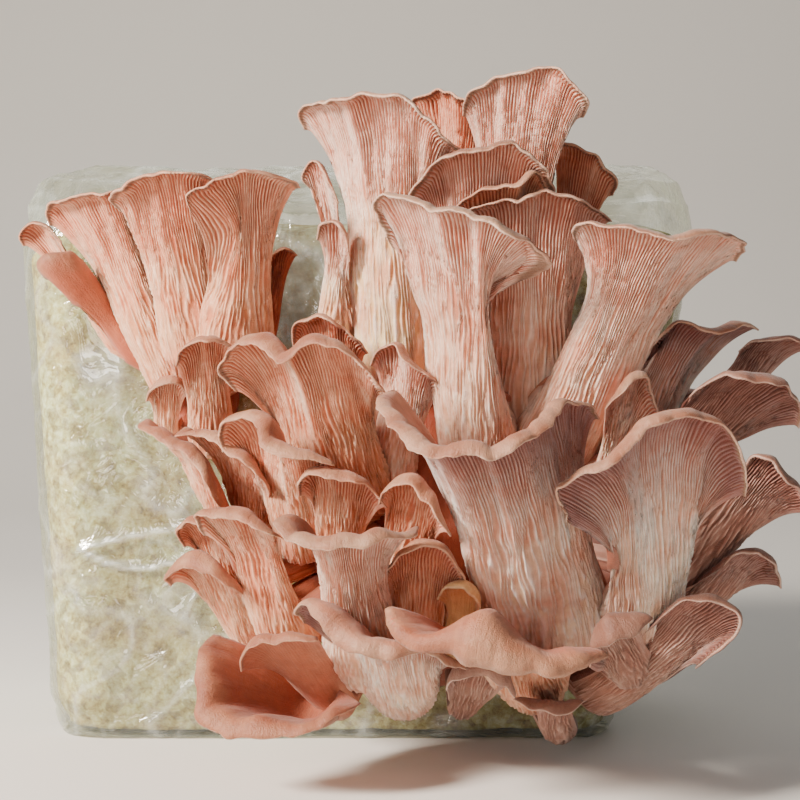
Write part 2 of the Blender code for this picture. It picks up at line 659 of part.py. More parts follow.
def knot_mesh(name: str, centre: Vector, radii: tuple, grow: float = 0) -> bpy.types.Mesh:
    """The front half of a rounded lump, with a flat back just in front of the block."""
    bm = bmesh.new()
    bmesh.ops.create_icosphere(bm, subdivisions=2, radius=1)
    flat_back = FACE_Y + FILM - GAP + grow
    for vertex in bm.verts:
        vertex.co = Vector([c + k * (r + grow) for c, k, r in zip(centre, vertex.co, radii)])
    plane = bmesh.ops.bisect_plane(
        bm, geom=bm.verts[:] + bm.edges[:] + bm.faces[:], plane_co=(0, flat_back, 0),
        plane_no=(0, 1, 0), clear_outer=True,
    )
    cut = [item for item in plane["geom_cut"] if isinstance(item, bmesh.types.BMEdge)]
    bmesh.ops.contextual_create(bm, geom=cut)
    bmesh.ops.recalc_face_normals(bm, faces=bm.faces)
    mesh = bpy.data.meshes.new(name)
    bm.to_mesh(mesh)
    bm.free()
    return mesh


def new_material(name: str, colour: tuple, roughness: float) -> bpy.types.Material:
    """A plain opaque material."""
    material = bpy.data.materials.new(name)
    material.use_nodes = True
    shader = material.node_tree.nodes["Principled BSDF"]
    shader.inputs["Base Color"].default_value = (*colour, 1)
    shader.inputs["Roughness"].default_value = roughness
    shader.inputs["Metallic"].default_value = 0
    return material


def new_collection(name: str) -> bpy.types.Collection:
    """A collection linked to the scene."""
    collection = bpy.data.collections.new(name)
    bpy.context.scene.collection.children.link(collection)
    return collection


def add_object(name, mesh, collection, material=None) -> bpy.types.Object:
    """An object for the mesh, shaded smooth except at its sharp edges."""
    obj = bpy.data.objects.new(name, mesh)
    collection.objects.link(obj)
    if material:
        mesh.materials.append(material)
    mesh.shade_smooth()
    mesh.set_sharp_from_angle(angle=SHARP)
    return obj


def clear_scene() -> None:
    """Empty the scene."""
    for obj in list(bpy.data.objects):
        bpy.data.objects.remove(obj, do_unlink=True)


def mean_forward(body: FruitBody) -> float:
    """How far in front of the bag the rim stands."""
    return sum(point[2] for point in body.rim) / len(body.rim)


def tree_of(mesh: bpy.types.Mesh) -> BVHTree:
    """The mesh's faces, ready for asking what they touch."""
    return BVHTree.FromPolygons([v.co for v in mesh.vertices], [list(f.vertices) for f in mesh.polygons])


def cut(target: bpy.types.Object, cutter: bpy.types.Object, solver: str = "EXACT") -> None:
    """Take the cutter's shape out of the target."""
    modifier = target.modifiers.new("clear_" + cutter.name, "BOOLEAN")
    modifier.operation = "DIFFERENCE"
    modifier.solver = solver
    modifier.object = cutter


def loose_pieces(bm: bmesh.types.BMesh) -> list:
    """The faces in groups that hang together by their edges."""
    waiting = set(bm.faces)
    pieces = []
    while waiting:
        piece = {min(waiting, key=lambda face: face.index)}
        border = set(piece)
        while border:
            border = {f for face in border for edge in face.edges for f in edge.link_faces} - piece
            piece |= border
        waiting -= piece
        pieces.append(piece)
    return pieces


def settle(obj: bpy.types.Object) -> None:
    """Make the cuts part of the mesh, and drop the crumbs that they leave."""
    bm = bmesh.new()
    bm.from_object(obj, bpy.context.evaluated_depsgraph_get())
    obj.modifiers.clear()
    bmesh.ops.triangulate(bm, faces=bm.faces)
    kept = max(loose_pieces(bm), key=len)
    bmesh.ops.delete(bm, geom=[face for face in bm.faces if face not in kept], context="FACES")
    bm.to_mesh(obj.data)
    bm.free()
    obj.data.shade_smooth()
    obj.data.set_sharp_from_angle(angle=SHARP)


def add_cutter(name: str, mesh: bpy.types.Mesh, collection: bpy.types.Collection) -> bpy.types.Object:
    """A hidden object that other pieces are cut by."""
    obj = bpy.data.objects.new(name, mesh)
    collection.objects.link(obj)
    obj.hide_render = True
    obj.display_type = "WIRE"
    return obj


def build_cluster(bag, cutters, flesh) -> None:
    """The knots and the fruit bodies. Those in front keep their shape, and those behind make room."""
    ahead = []
    for name, knot in (("cluster_base", MAIN_KNOT), ("upper_left_base", LEFT_KNOT)):
        add_object(name, knot_mesh(name, *knot), bag, flesh)
        room = add_cutter("room_" + name, knot_mesh(name, *knot, grow=CLEARANCE), cutters)
        ahead.append((room, tree_of(room.data)))
    for body in sorted(FRUIT_BODIES, key=mean_forward, reverse=True):
        obj = add_object(body.name, fruit_mesh(body), bag, flesh)
        tree = tree_of(obj.data)
        for room, taken in ahead:
            if tree.overlap(taken):
                cut(obj, room, SHEET_SOLVER)
        if obj.modifiers:
            settle(obj)
        room = add_cutter("room_" + body.name, fruit_mesh(body, grow=CLEARANCE), cutters)
        ahead.append((room, tree_of(room.data)))


def build_bag(bag, cutters, film, straw) -> None:
    """The block, and the film around it with an opening for each knot."""
    add_object("substrate_block", bag_rows(BLOCK_ROWS, FILM + GAP), bag, straw)
    shell = add_object("bag_film", bag_rows(BAG_ROWS, 0), bag, film)
    wall = shell.modifiers.new("film", "SOLIDIFY")
    wall.thickness = FILM
    wall.offset = -1
    wall.use_even_offset = True
    for name, (centre, radii) in (("cluster", MAIN_KNOT), ("upper_left", LEFT_KNOT)):
        bm = bmesh.new()
        bmesh.ops.create_cone(bm, cap_ends=True, segments=20, radius1=1, radius2=1, depth=1)
        size = Matrix.Diagonal((radii[0] + OPENING_ROOM, radii[2] + OPENING_ROOM, OPENING_DEPTH, 1))
        turned = Matrix.Rotation(math.pi / 2, 4, "X")
        bmesh.ops.transform(bm, matrix=Matrix.Translation(centre) @ turned @ size, verts=bm.verts)
        mesh = bpy.data.meshes.new(name)
        bm.to_mesh(mesh)
        bm.free()
        cut(shell, add_cutter("opening_" + name, mesh, cutters))


def main() -> None:
    """Build the object."""
    clear_scene()
    bag = new_collection("oyster_mushroom_grow_bag")
    cutters = new_collection("cutters")
    cutters.hide_render = True
    flesh = new_material("pink_mushroom_flesh", (0.80, 0.38, 0.25), 0.6)
    film = new_material("clear_bag_film", (0.72, 0.74, 0.66), 0.2)
    straw = new_material("colonised_straw", (0.70, 0.62, 0.42), 0.8)
    build_bag(bag, cutters, film, straw)
    build_cluster(bag, cutters, flesh)


if __name__ == "__main__":
    main()
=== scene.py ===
"""Oyster mushroom grow bag: a clear bag of colonised straw, with pink oyster mushrooms on its front.

Metres, Z up, X to the right, Y into the bag. The origin is on the floor under the middle of the bag.
"""

import logging
import math
from dataclasses import dataclass, replace
from enum import Enum
from itertools import product

import bpy
import numpy as np
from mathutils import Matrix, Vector


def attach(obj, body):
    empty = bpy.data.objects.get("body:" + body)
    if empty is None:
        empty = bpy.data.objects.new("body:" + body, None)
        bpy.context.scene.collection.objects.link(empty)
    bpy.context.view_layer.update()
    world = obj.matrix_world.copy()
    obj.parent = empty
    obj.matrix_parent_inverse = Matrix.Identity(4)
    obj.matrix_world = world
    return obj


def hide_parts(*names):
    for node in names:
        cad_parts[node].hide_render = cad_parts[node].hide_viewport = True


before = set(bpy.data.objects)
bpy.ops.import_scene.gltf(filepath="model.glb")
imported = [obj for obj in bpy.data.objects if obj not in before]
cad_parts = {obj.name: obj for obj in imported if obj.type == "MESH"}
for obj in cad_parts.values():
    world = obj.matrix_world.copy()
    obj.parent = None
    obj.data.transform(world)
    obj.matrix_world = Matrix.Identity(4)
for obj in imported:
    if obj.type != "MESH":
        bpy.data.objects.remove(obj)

LOG = logging.getLogger("grow_bag")
Feed = bpy.types.NodeSocket | float | tuple
MM = 0.001
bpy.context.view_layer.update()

# The viewpoint: picture steps of an 800 by 800 picture, and how far in front of the bag it stands
SIGHT_X = 15 * MM
SIGHT_Z = 119 * MM
SIGHT_DISTANCE = 550 * MM
SIGHT_CENTRE = 400
SIGHT_FOCUS = 1576
SENSOR = 36

# Driving sizes of the bag
BAG_WIDTH = 246 * MM
BAG_DEPTH = 130 * MM
BLOCK_TOP = 186 * MM
FILM = 0.6 * MM
GAP = 0.3 * MM
BAG_FOOT_LEFT = 111 * MM
BAG_FOOT_RIGHT = 94 * MM
BAG_CORNER = 24 * MM
FACE_Y = -BAG_DEPTH / 2

# Loops up the bag and the block: height, and shares of the width and the depth
BAG_ROWS = (
    (0, 0.97, 0.95), (8 * MM, 1, 1), (90 * MM, 1, 1), (176 * MM, 1, 1), (189 * MM, 0.985, 0.96),
    (199 * MM, 0.965, 0.78), (206 * MM, 0.93, 0.45), (210 * MM, 0.90, 0.15),
)
BLOCK_ROWS = (
    (FILM + GAP, 0.96, 0.94), (10 * MM, 1, 1), (90 * MM, 1, 1), (170 * MM, 1, 1),
    (181 * MM, 0.96, 0.90), (BLOCK_TOP - 1 * MM, 0.88, 0.70),
)

# Two long pinches in the film, in picture steps right and down
FILM_LINES = ((192, 525), (130, 536), (78, 548), (110, 564), (150, 568), (175, 561), (205, 570))

# The film's creases: how far apart each kind is, the folded top, and the fold round the foot
RIDGE_SPACING = 26 * MM
RIDGE_BENDS = 40 * MM
SHORT_RIDGES = 10 * MM
FACET_SPACING = 24 * MM
SLACK_SPACING = 36 * MM
LINE_WIDTH = 0.9 * MM
TOP_START = 172 * MM
TOP_SPAN = 18 * MM
FOOT_FOLD = 9 * MM
FOOT_FOLD_WIDTH = 3 * MM

# The block's lumps, and a dark brown patch painted on it as shade behind the mushrooms
LUMP_SPACING = 14 * MM
SHADE_SPOT = (290, 292, 0)

# The knots of tissue that the caps grow from, as a centre and radii, and how they are drawn
MAIN_KNOT = ((28 * MM, FACE_Y, 78 * MM), (52 * MM, 46 * MM, 58 * MM))
LEFT_KNOT = ((-56 * MM, FACE_Y, 121 * MM), (15 * MM, 15 * MM, 20 * MM))
KNOT_COLUMNS = 72
KNOT_ROWS = 26
KNOT_BACK_RING = 0.6
KNOT_BUMPS = 0.05

# The sheet of a fruit body: how far it stands off its knot, and shares of its height and its stem's radius
KNOT_CLEARANCE = 1.12
FOOT_SINK = 0.97
LIP_SPAN = 0.14
SIDE_CURL = 0.45
PEAK_SPAN = 0.13
LEAST_ROOM = 0.12
FOOT_SHARE = 0.75
OUTGROWTH = 0.7
RING_PULL = 0.5
FOLD_REACH = 20 * MM
CHANNEL_SPAN = 0.4
STEM_HANDLE = 0.35
RIM_HANDLE = 0.3

# The gills, and how finely they are drawn
GILL_SPACING = 1.25 * MM
GILL_COLUMNS = 4
GILL_DEPTH = 1.1 * MM
GILL_LEVEL = 0.6
MIDDLE_START = 0.02
FINE_START = 0.42
BARE_SHARE = 0.14
FLAT_TINT = 0.62
BARE_TINT = 0.4
ROW_SPACING = 2.15 * MM
LIP_ROW = 0.8 * MM
FOOT_ROWS = 4
FOOT_SPAN = 0.06
EDGE = 0.5 * MM
SIDE_MARGIN = 5 * MM

# The sheet's waves and swellings
RUFFLE = 1.9 * MM
RUFFLE_SPACING = 12 * MM
CRINKLE = 0.7 * MM
CALM_END = 9 * MM
BELLY = 2.5 * MM
BELLY_SPAN = 60 * MM
BULGE = 1.3 * MM
BULGE_SPACING = 17 * MM
VELVET = 0.3 * MM
VELVET_SPACING = 9 * MM

# Noise in the materials, as cells in a metre: blotches of 12 mm, mottling of 3 mm, grain of 0.4 mm,
# patches of mycelium of 26 mm, fibres of 3 mm, bits of straw of 4 mm and crumples of 21 mm
BLOTCHES = 85
MOTTLING = 330
GRAIN = 2400
MYCELIUM = 38
FIBRES = 300
STRAW_BITS = 260
CRUMPLES = 48

# The paper sweep's side view: metres into the room, metres up
SWEEP = ((-3, 0), (0.5, 0), (0.8, 0.02), (1.0, 0.1), (1.15, 0.25), (1.25, 0.5), (1.3, 1.0), (1.3, 2.5))


class Tone(Enum):
    """The colourings of the flesh, by where it grows in the cluster; the mauve, dusky and dark orange ones
    are partly painted shade, darker where the cluster lies in shade.
    """

    SALMON = "salmon"
    PINK = "pink"
    MAUVE = "mauve"
    ORANGE = "orange"
    GOLDEN = "golden"
    AMBER = "amber"
    DUSKY = "dusky"
    RUSSET = "russet"


@dataclass(frozen=True)
class FruitBody:
    """One stem and cap: a sheet rolled round its stem and opening into a fan or a funnel.

    rim: points along the cap's edge, from its left end to its right end.
    base, radius: where the stem starts, and its radius in millimetres.
    facing, wrap: the way the gills face, 0 to the front and 90 to the right, and how far round the
    stem the cap reaches, in degrees.
    flare: the wall's slope near the rim in degrees, 90 going straight on from the stem.
    curl, roll: the length of the rolled rim in millimetres, and the slope it ends with.
    thick: the flesh's thickness in millimetres.
    straight: 0 for a trumpet, 1 for a wall that runs straight from the stem to the rim.
    flat: the stem's depth over its width.
    knot: the lump that it grows from.
    columns: how many stretches of the rim its directions are worked out at.
    tone: its colouring.
    ruffle: how strongly its rim waves.
    gilled: whether it has gills yet.
    peak, peak_at: how much wider its rolled rim is at one place, and where that is along the rim.
    belly: how strongly its wall swells.
    tucks: how far its wall is drawn in below its left and right ends, in millimetres.
    """

    name: str
    rim: tuple
    base: tuple
    radius: float
    facing: float = 0
    wrap: float = 190
    flare: float = 60
    curl: float = 4
    roll: float = 10
    thick: float = 4
    straight: float = 0.7
    flat: float = 1.0
    knot: tuple = MAIN_KNOT
    columns: int = 6
    tone: Tone = Tone.SALMON
    ruffle: float = 1.0
    gilled: bool = True
    peak: float = 0.0
    peak_at: float = 0.47
    belly: float = 1.0
    tucks: tuple = (0, 0)


FRUIT_BODIES = (
    # Upper left group
    FruitBody(
        "upper_left_edge_fan", base=(172, 378, 16), radius=8.5, facing=-10, wrap=170, flare=72, curl=5,
        roll=20, straight=0.9, columns=7, belly=2.0, knot=LEFT_KNOT,
        rim=((50, 226, 22), (44, 211, 27), (60, 203, 33), (80, 197, 37), (100, 194, 40), (120, 193, 40),
             (132, 199, 36), (138, 212, 30)),
    ),
    FruitBody(
        "upper_left_flap", base=(118, 345, 8), radius=3.5, facing=-30, wrap=150, curl=3, thick=3.5,
        columns=5, knot=LEFT_KNOT,
        rim=((24, 246, 12), (20, 234, 14), (30, 226, 17), (46, 229, 18), (62, 242, 16)),
    ),
    FruitBody(
        "left_spatula", base=(136, 352, 12), radius=5, facing=200, wrap=120, curl=3, roll=30, thick=3,
        knot=LEFT_KNOT,
        rim=((88, 270, 22), (76, 256, 28), (60, 252, 32), (45, 257, 33), (38, 266, 32), (46, 278, 29)),
    ),
    FruitBody(
        "upper_left_tall_fan", base=(197, 352, 26), radius=11, facing=-5, wrap=180, flare=74, curl=6,
        roll=15, straight=1.0, flat=0.75, columns=7, belly=2.0, knot=LEFT_KNOT,
        rim=((120, 212, 40), (109, 202, 44), (118, 191, 50), (135, 182, 54), (155, 176, 57),
             (180, 173, 58), (200, 174, 57), (214, 181, 52)),
    ),
    FruitBody(
        "upper_middle_fan", base=(236, 352, 30), radius=13, facing=8, flare=72, curl=6, roll=15,
        straight=1.0, flat=0.75, columns=8, belly=2.0, tucks=(7, 0), knot=LEFT_KNOT,
        rim=((190, 212, 60), (189, 196, 63), (205, 186, 67), (226, 180, 69), (250, 174, 69),
             (272, 178, 65), (290, 179, 60), (299, 188, 53)),
    ),
    FruitBody(
        "shaded_bud", base=(262, 350, 14), radius=4, facing=10, wrap=150, flare=75, curl=2, columns=4,
        tone=Tone.ORANGE, knot=LEFT_KNOT,
        rim=((266, 266, 24), (274, 254, 28), (286, 250, 29), (297, 256, 26)),
    ),
    FruitBody(
        "left_cup", base=(212, 436, 24), radius=8, flare=70, curl=5, roll=20, knot=LEFT_KNOT,
        rim=((176, 366, 47), (181, 353, 52), (192, 345, 56), (206, 343, 58), (222, 344, 57),
             (236, 350, 51)),
    ),
    FruitBody(
        "left_knob", base=(166, 430, 16), radius=4.5, facing=-10, wrap=170, curl=3, thick=5, columns=5,
        knot=LEFT_KNOT,
        rim=((146, 402, 28), (152, 390, 33), (166, 384, 35), (180, 388, 34), (188, 398, 29)),
    ),
    # Centre left group
    FruitBody(
        "centre_left_fan", base=(352, 500, 44), radius=15, facing=-8, wrap=200, flare=52, curl=6, roll=-5,
        straight=0.85, flat=0.7, columns=10, belly=2.0,
        rim=((236, 392, 66), (221, 374, 70), (228, 354, 76), (246, 343, 82), (262, 347, 87),
             (280, 364, 92), (302, 351, 96), (325, 346, 98), (350, 357, 97), (374, 380, 92),
             (388, 402, 84)),
    ),
    FruitBody(
        "centre_left_back_fan", base=(350, 452, 34), radius=8, facing=-5, wrap=180, flare=66, straight=0.8,
        rim=((294, 350, 50), (294, 330, 55), (304, 320, 60), (320, 319, 63), (338, 328, 64),
             (356, 340, 62), (368, 354, 56)),
    ),
    FruitBody(
        "centre_back_fan", base=(398, 468, 42), radius=8, facing=5, wrap=180, flare=66, straight=0.8,
        tone=Tone.PINK,
        rim=((371, 366, 60), (378, 352, 64), (392, 347, 68), (404, 358, 71), (420, 370, 72),
             (434, 383, 69), (440, 400, 62)),
    ),
    # Top group
    FruitBody(
        "tall_funnel", base=(396, 376, 30), radius=13, wrap=215, flare=62, curl=6, roll=0, straight=0.6,
        columns=10, tone=Tone.GOLDEN, belly=2.0,
        rim=((305, 130, 46), (299, 115, 50), (306, 107, 57), (322, 105, 64), (342, 100, 70), (362, 96, 74),
             (384, 97, 77), (404, 101, 79), (424, 116, 79), (440, 136, 78), (456, 146, 74), (468, 156, 66)),
    ),
    FruitBody(
        "narrow_fan", base=(350, 330, 26), radius=4.5, facing=-20, wrap=150, flare=72, curl=3, thick=3,
        tone=Tone.PINK,
        rim=((310, 190, 38), (301, 178, 41), (306, 166, 44), (316, 168, 46), (328, 184, 47),
             (338, 204, 45)),
    ),
    FruitBody(
        "yellow_bud", base=(334, 338, 36), radius=5.5, facing=-10, wrap=170, flare=78, curl=3, thick=5,
        columns=5, tone=Tone.GOLDEN,
        rim=((317, 240, 50), (322, 226, 54), (333, 223, 56), (343, 238, 56), (350, 262, 52)),
    ),
    FruitBody(
        "top_back_fan", base=(450, 330, 26), radius=8, wrap=170, flare=70, roll=20,
        rim=((412, 116, 36), (412, 102, 41), (430, 95, 46), (442, 90, 50), (458, 99, 53), (476, 105, 55),
             (490, 114, 54), (499, 134, 48)),
    ),
    FruitBody(
        "top_front_fan", base=(478, 388, 40), radius=13, wrap=200, flare=64, curl=6, roll=0, straight=0.8,
        columns=8, tone=Tone.PINK,
        rim=((410, 214, 66), (411, 196, 71), (424, 177, 78), (444, 160, 84), (470, 154, 87),
             (492, 152, 88), (512, 146, 88), (534, 160, 86), (549, 180, 80), (554, 200, 73)),
    ),
    FruitBody(
        "top_inner_fan", base=(498, 400, 42), radius=7, wrap=180, flare=66, straight=0.8,
        rim=((456, 214, 74), (462, 202, 79), (486, 192, 83), (512, 187, 85), (528, 178, 85),
             (538, 172, 83), (548, 190, 76)),
    ),
    FruitBody(
        "top_right_fan", base=(492, 326, 34), radius=9, facing=6, wrap=185, flare=68, curl=5, straight=0.8,
        columns=8, tone=Tone.PINK, belly=1.6,
        rim=((462, 116, 52), (464, 100, 57), (482, 87, 63), (504, 77, 69), (528, 75, 73), (551, 69, 76),
             (570, 83, 77), (588, 103, 75), (584, 118, 68)),
    ),
    FruitBody(
        "right_back_fan", base=(548, 330, 24), radius=5.5, facing=15, wrap=170, flare=70,
        rim=((552, 156, 40), (558, 145, 44), (576, 147, 48), (592, 155, 50), (604, 169, 50),
             (616, 182, 47), (613, 196, 40)),
    ),
    FruitBody(
        "front_left_fan", base=(484, 450, 50), radius=14, wrap=215, flare=62, curl=4.5, roll=5,
        straight=0.85, columns=16, tone=Tone.PINK, peak=2.4, peak_at=0.84, belly=1.8, tucks=(0, 10),
        rim=((392, 248, 76), (378, 222, 82), (374, 202, 88), (390, 197, 94), (410, 204, 99),
             (440, 209, 104), (474, 221, 108), (506, 234, 110), (534, 248, 107), (546, 264, 98),
             (536, 276, 90), (518, 278, 84), (504, 284, 76)),
    ),
    FruitBody(
        "front_right_fan", base=(548, 450, 50), radius=14, facing=8, wrap=205, flare=62, curl=4.5, roll=5,
        straight=0.85, columns=11, tone=Tone.PINK, belly=1.8, tucks=(5, 0),
        rim=((590, 258, 76), (577, 246, 83), (570, 234, 90), (586, 226, 97), (610, 228, 101),
             (640, 232, 103), (672, 238, 104), (702, 239, 103), (730, 240, 99), (746, 247, 91),
             (736, 262, 82)),
    ),
    FruitBody(
        "top_middle_fan", base=(520, 440, 42), radius=15, facing=5, wrap=170, flare=68, curl=5, flat=0.6,
        columns=8, tone=Tone.PINK, belly=1.5,
        rim=((470, 234, 72), (466, 216, 77), (490, 205, 81), (520, 200, 84), (546, 197, 85),
             (574, 201, 84), (596, 210, 81), (612, 222, 74)),
    ),
    # Right group
    FruitBody(
        "right_upper_lip", base=(600, 450, 38), radius=16, facing=25, wrap=160, straight=0.8, columns=7,
        tone=Tone.DUSKY,
        rim=((640, 362, 54), (658, 342, 60), (678, 324, 65), (698, 330, 68), (720, 333, 69),
             (744, 325, 66), (758, 331, 59)),
    ),
    FruitBody(
        "right_outer_lip", base=(690, 420, 34), radius=11, facing=20, wrap=150, curl=2, roll=15, thick=3,
        straight=0.3, columns=5, tone=Tone.MAUVE,
        rim=((738, 352, 54), (752, 343, 59), (774, 339, 62), (798, 339, 62), (816, 350, 56)),
    ),
    FruitBody(
        "right_middle_fan", base=(626, 478, 44), radius=14, facing=30, wrap=170, roll=0, straight=0.8,
        columns=7, tone=Tone.MAUVE,
        rim=((690, 398, 74), (702, 388, 79), (726, 380, 83), (756, 378, 84), (784, 388, 81),
             (800, 408, 74), (798, 428, 66)),
    ),
    FruitBody(
        "finger_cap", base=(606, 462, 60), radius=3.5, facing=10, wrap=160, curl=3, columns=5,
        tone=Tone.PINK,
        rim=((606, 410, 84), (616, 396, 87), (632, 381, 88), (645, 378, 86), (650, 392, 82),
             (660, 426, 78)),
    ),
    FruitBody(
        "front_funnel", base=(553, 630, 56), radius=21, facing=-18, wrap=225, flare=58, curl=5, roll=-10,
        straight=0.85, flat=0.5, columns=12, tone=Tone.DUSKY, ruffle=0.75, belly=2.2, tucks=(0, -3),
        rim=((392, 392, 88), (377, 402, 98), (386, 420, 108), (400, 437, 117), (418, 452, 123),
             (440, 458, 126), (466, 453, 128), (490, 462, 129), (512, 452, 128), (534, 438, 125),
             (552, 420, 119), (572, 406, 112), (590, 408, 104), (600, 420, 96)),
    ),
    FruitBody(
        "right_front_fan", base=(634, 618, 60), radius=13, facing=14, wrap=200, flare=52, roll=0,
        straight=0.5, flat=0.8, columns=10, tone=Tone.DUSKY, belly=2.0, tucks=(7.5, 0),
        rim=((590, 534, 98), (562, 510, 112), (558, 492, 116), (576, 477, 119), (604, 468, 120),
             (630, 451, 120), (656, 430, 118), (682, 416, 115), (706, 420, 112), (732, 437, 108),
             (742, 466, 103), (744, 496, 96)),
    ),
    FruitBody(
        "right_lower_fan", base=(672, 556, 46), radius=15, facing=35, wrap=170, curl=5, straight=0.8,
        tone=Tone.MAUVE,
        rim=((744, 470, 76), (756, 456, 82), (772, 461, 86), (786, 482, 86), (804, 500, 82),
             (812, 518, 74)),
    ),
    FruitBody(
        "right_under_fan", base=(672, 602, 42), radius=12, facing=35, wrap=160, curl=3, straight=0.5,
        columns=5, tone=Tone.MAUVE,
        rim=((724, 566, 66), (738, 553, 70), (757, 557, 70), (776, 571, 66), (780, 588, 58)),
    ),
    # Lower left group
    FruitBody(
        "left_rolled_fan", base=(304, 538, 48), radius=9, facing=-25, wrap=180, flare=55, curl=5, roll=-10,
        straight=0.8, columns=7,
        rim=((224, 452, 66), (222, 428, 72), (238, 420, 78), (256, 428, 83), (262, 446, 88),
             (284, 456, 91), (310, 461, 92), (334, 466, 90)),
    ),
    FruitBody(
        "left_long_fan", base=(238, 534, 30), radius=7, facing=-45, wrap=160, flare=65, roll=0,
        straight=0.9, columns=8,
        rim=((146, 420, 44), (140, 427, 50), (152, 434, 56), (167, 446, 60), (184, 455, 63),
             (197, 470, 65), (205, 488, 66), (222, 512, 63)),
    ),
    FruitBody(
        "left_inner_fan", base=(256, 520, 30), radius=5.5, facing=-40, wrap=160, flare=62, straight=0.9,
        rim=((186, 428, 54), (180, 434, 58), (196, 434, 62), (218, 444, 66), (240, 460, 69),
             (256, 476, 70), (268, 494, 68)),
    ),
    FruitBody(
        "left_fist", base=(340, 548, 58), radius=7, facing=-5, wrap=180, straight=0.8,
        rim=((300, 496, 82), (301, 482, 87), (318, 475, 90), (342, 480, 92), (366, 490, 92),
             (386, 508, 87)),
    ),
    FruitBody(
        "middle_fan", base=(398, 566, 58), radius=8, wrap=180, flare=52, curl=5, straight=0.8,
        rim=((378, 506, 88), (386, 490, 94), (402, 486, 98), (420, 496, 100), (436, 516, 100),
             (450, 536, 95)),
    ),
    FruitBody(
        "left_front_funnel", base=(366, 652, 54), radius=13, facing=-8, wrap=215, flare=56, curl=4.5,
        roll=-10, straight=0.5, columns=9, tone=Tone.PINK, belly=2.0,
        rim=((292, 516, 88), (278, 520, 97), (288, 538, 104), (308, 549, 109), (334, 551, 112),
             (360, 546, 112), (384, 537, 110), (408, 537, 104), (418, 528, 95)),
    ),
    FruitBody(
        "left_lower_fan", base=(292, 636, 44), radius=11, facing=-30, flare=58, roll=-5, straight=0.85,
        flat=0.8, columns=7, belly=2.0,
        rim=((204, 536, 68), (192, 522, 74), (212, 516, 80), (238, 516, 84), (254, 527, 87),
             (272, 534, 87), (284, 540, 82)),
    ),
    FruitBody(
        "left_far_fan", base=(244, 630, 34), radius=6, facing=-35, wrap=160, curl=6, roll=-20,
        straight=0.9,
        rim=((172, 586, 50), (168, 576, 55), (182, 571, 60), (202, 572, 64), (222, 581, 65),
             (242, 594, 62)),
    ),
    FruitBody(
        "left_side_fan", base=(236, 590, 32), radius=5.5, facing=-40, wrap=150, flare=58, curl=3,
        straight=0.9, columns=5,
        rim=((184, 548, 44), (178, 532, 49), (188, 524, 54), (204, 530, 58), (220, 546, 58)),
    ),
    FruitBody(
        "centre_lower_fan", base=(416, 642, 54), radius=9.5, flare=66, columns=7,
        rim=((388, 592, 78), (386, 575, 84), (398, 562, 88), (420, 549, 90), (442, 552, 90),
             (460, 571, 86), (466, 592, 78)),
    ),
    FruitBody(
        "yellow_bulge", base=(462, 644, 60), radius=7, wrap=180, flare=80, roll=20, thick=6, columns=5,
        tone=Tone.AMBER, gilled=False, belly=5,
        rim=((438, 600, 80), (447, 589, 85), (462, 588, 87), (476, 600, 85), (480, 618, 79)),
    ),
    # Bottom group
    FruitBody(
        "bottom_front_lip", base=(536, 686, 40), radius=10, flare=55, curl=5, roll=-60, columns=10,
        peak=2.2,
        rim=((386, 610, 100), (392, 632, 106), (420, 650, 112), (450, 658, 116), (484, 666, 118),
             (516, 673, 119), (548, 675, 118), (578, 667, 115), (608, 656, 108)),
    ),
    FruitBody(
        "bottom_left_fan", base=(402, 684, 50), radius=12, facing=-10, wrap=205, flare=55, curl=4.5,
        roll=-30, straight=0.75, columns=9, tone=Tone.DUSKY,
        rim=((304, 624, 82), (296, 612, 90), (310, 607, 97), (324, 622, 102), (344, 645, 106),
             (372, 659, 108), (400, 658, 108), (424, 654, 106), (446, 664, 100), (466, 670, 90)),
    ),
    FruitBody(
        "bottom_left_lip", base=(336, 696, 46), radius=8, facing=-25, wrap=170, flare=58, straight=0.85,
        tone=Tone.RUSSET, gilled=False, belly=2.5,
        rim=((242, 672, 74), (244, 656, 80), (266, 647, 85), (292, 642, 88), (318, 641, 88)),
    ),
    FruitBody(
        "bottom_left_bowl", base=(340, 690, 34), radius=7, facing=-25, wrap=200, flare=88, curl=6, roll=20,
        straight=0.4, columns=9, tone=Tone.RUSSET, gilled=False, belly=4.0,
        rim=((214, 636, 58), (198, 652, 66), (195, 680, 73), (200, 712, 79), (222, 734, 84),
             (254, 738, 88), (286, 740, 90), (318, 732, 90), (346, 716, 86), (360, 704, 78)),
    ),
    FruitBody(
        "bottom_middle_fan", base=(462, 706, 30), radius=5, wrap=160, curl=5, roll=-40, columns=5,
        tone=Tone.MAUVE,
        rim=((447, 690, 80), (452, 681, 85), (474, 676, 88), (500, 682, 88), (514, 698, 83)),
    ),
    FruitBody(
        "bottom_under_lip", base=(560, 728, 34), radius=6, facing=5, wrap=160, curl=3, roll=20,
        straight=0.9, columns=5, tone=Tone.MAUVE,
        rim=((514, 700, 76), (530, 708, 80), (550, 712, 82), (570, 712, 80), (584, 702, 76)),
    ),
    FruitBody(
        "bottom_right_roll", base=(630, 664, 56), radius=8, facing=15, wrap=170, curl=8, roll=-30,
        columns=5, tone=Tone.MAUVE,
        rim=((590, 668, 96), (596, 654, 102), (612, 644, 106), (632, 634, 107), (652, 618, 104)),
    ),
    FruitBody(
        "bottom_right_fan", base=(598, 684, 38), radius=13, wrap=100, flare=65, roll=0, thick=3.5,
        straight=0.6, flat=0.7, columns=8, tone=Tone.MAUVE,
        rim=((664, 616, 82), (684, 603, 88), (712, 601, 91), (738, 613, 90), (736, 632, 87),
             (716, 650, 83), (694, 668, 78)),
    ),
)


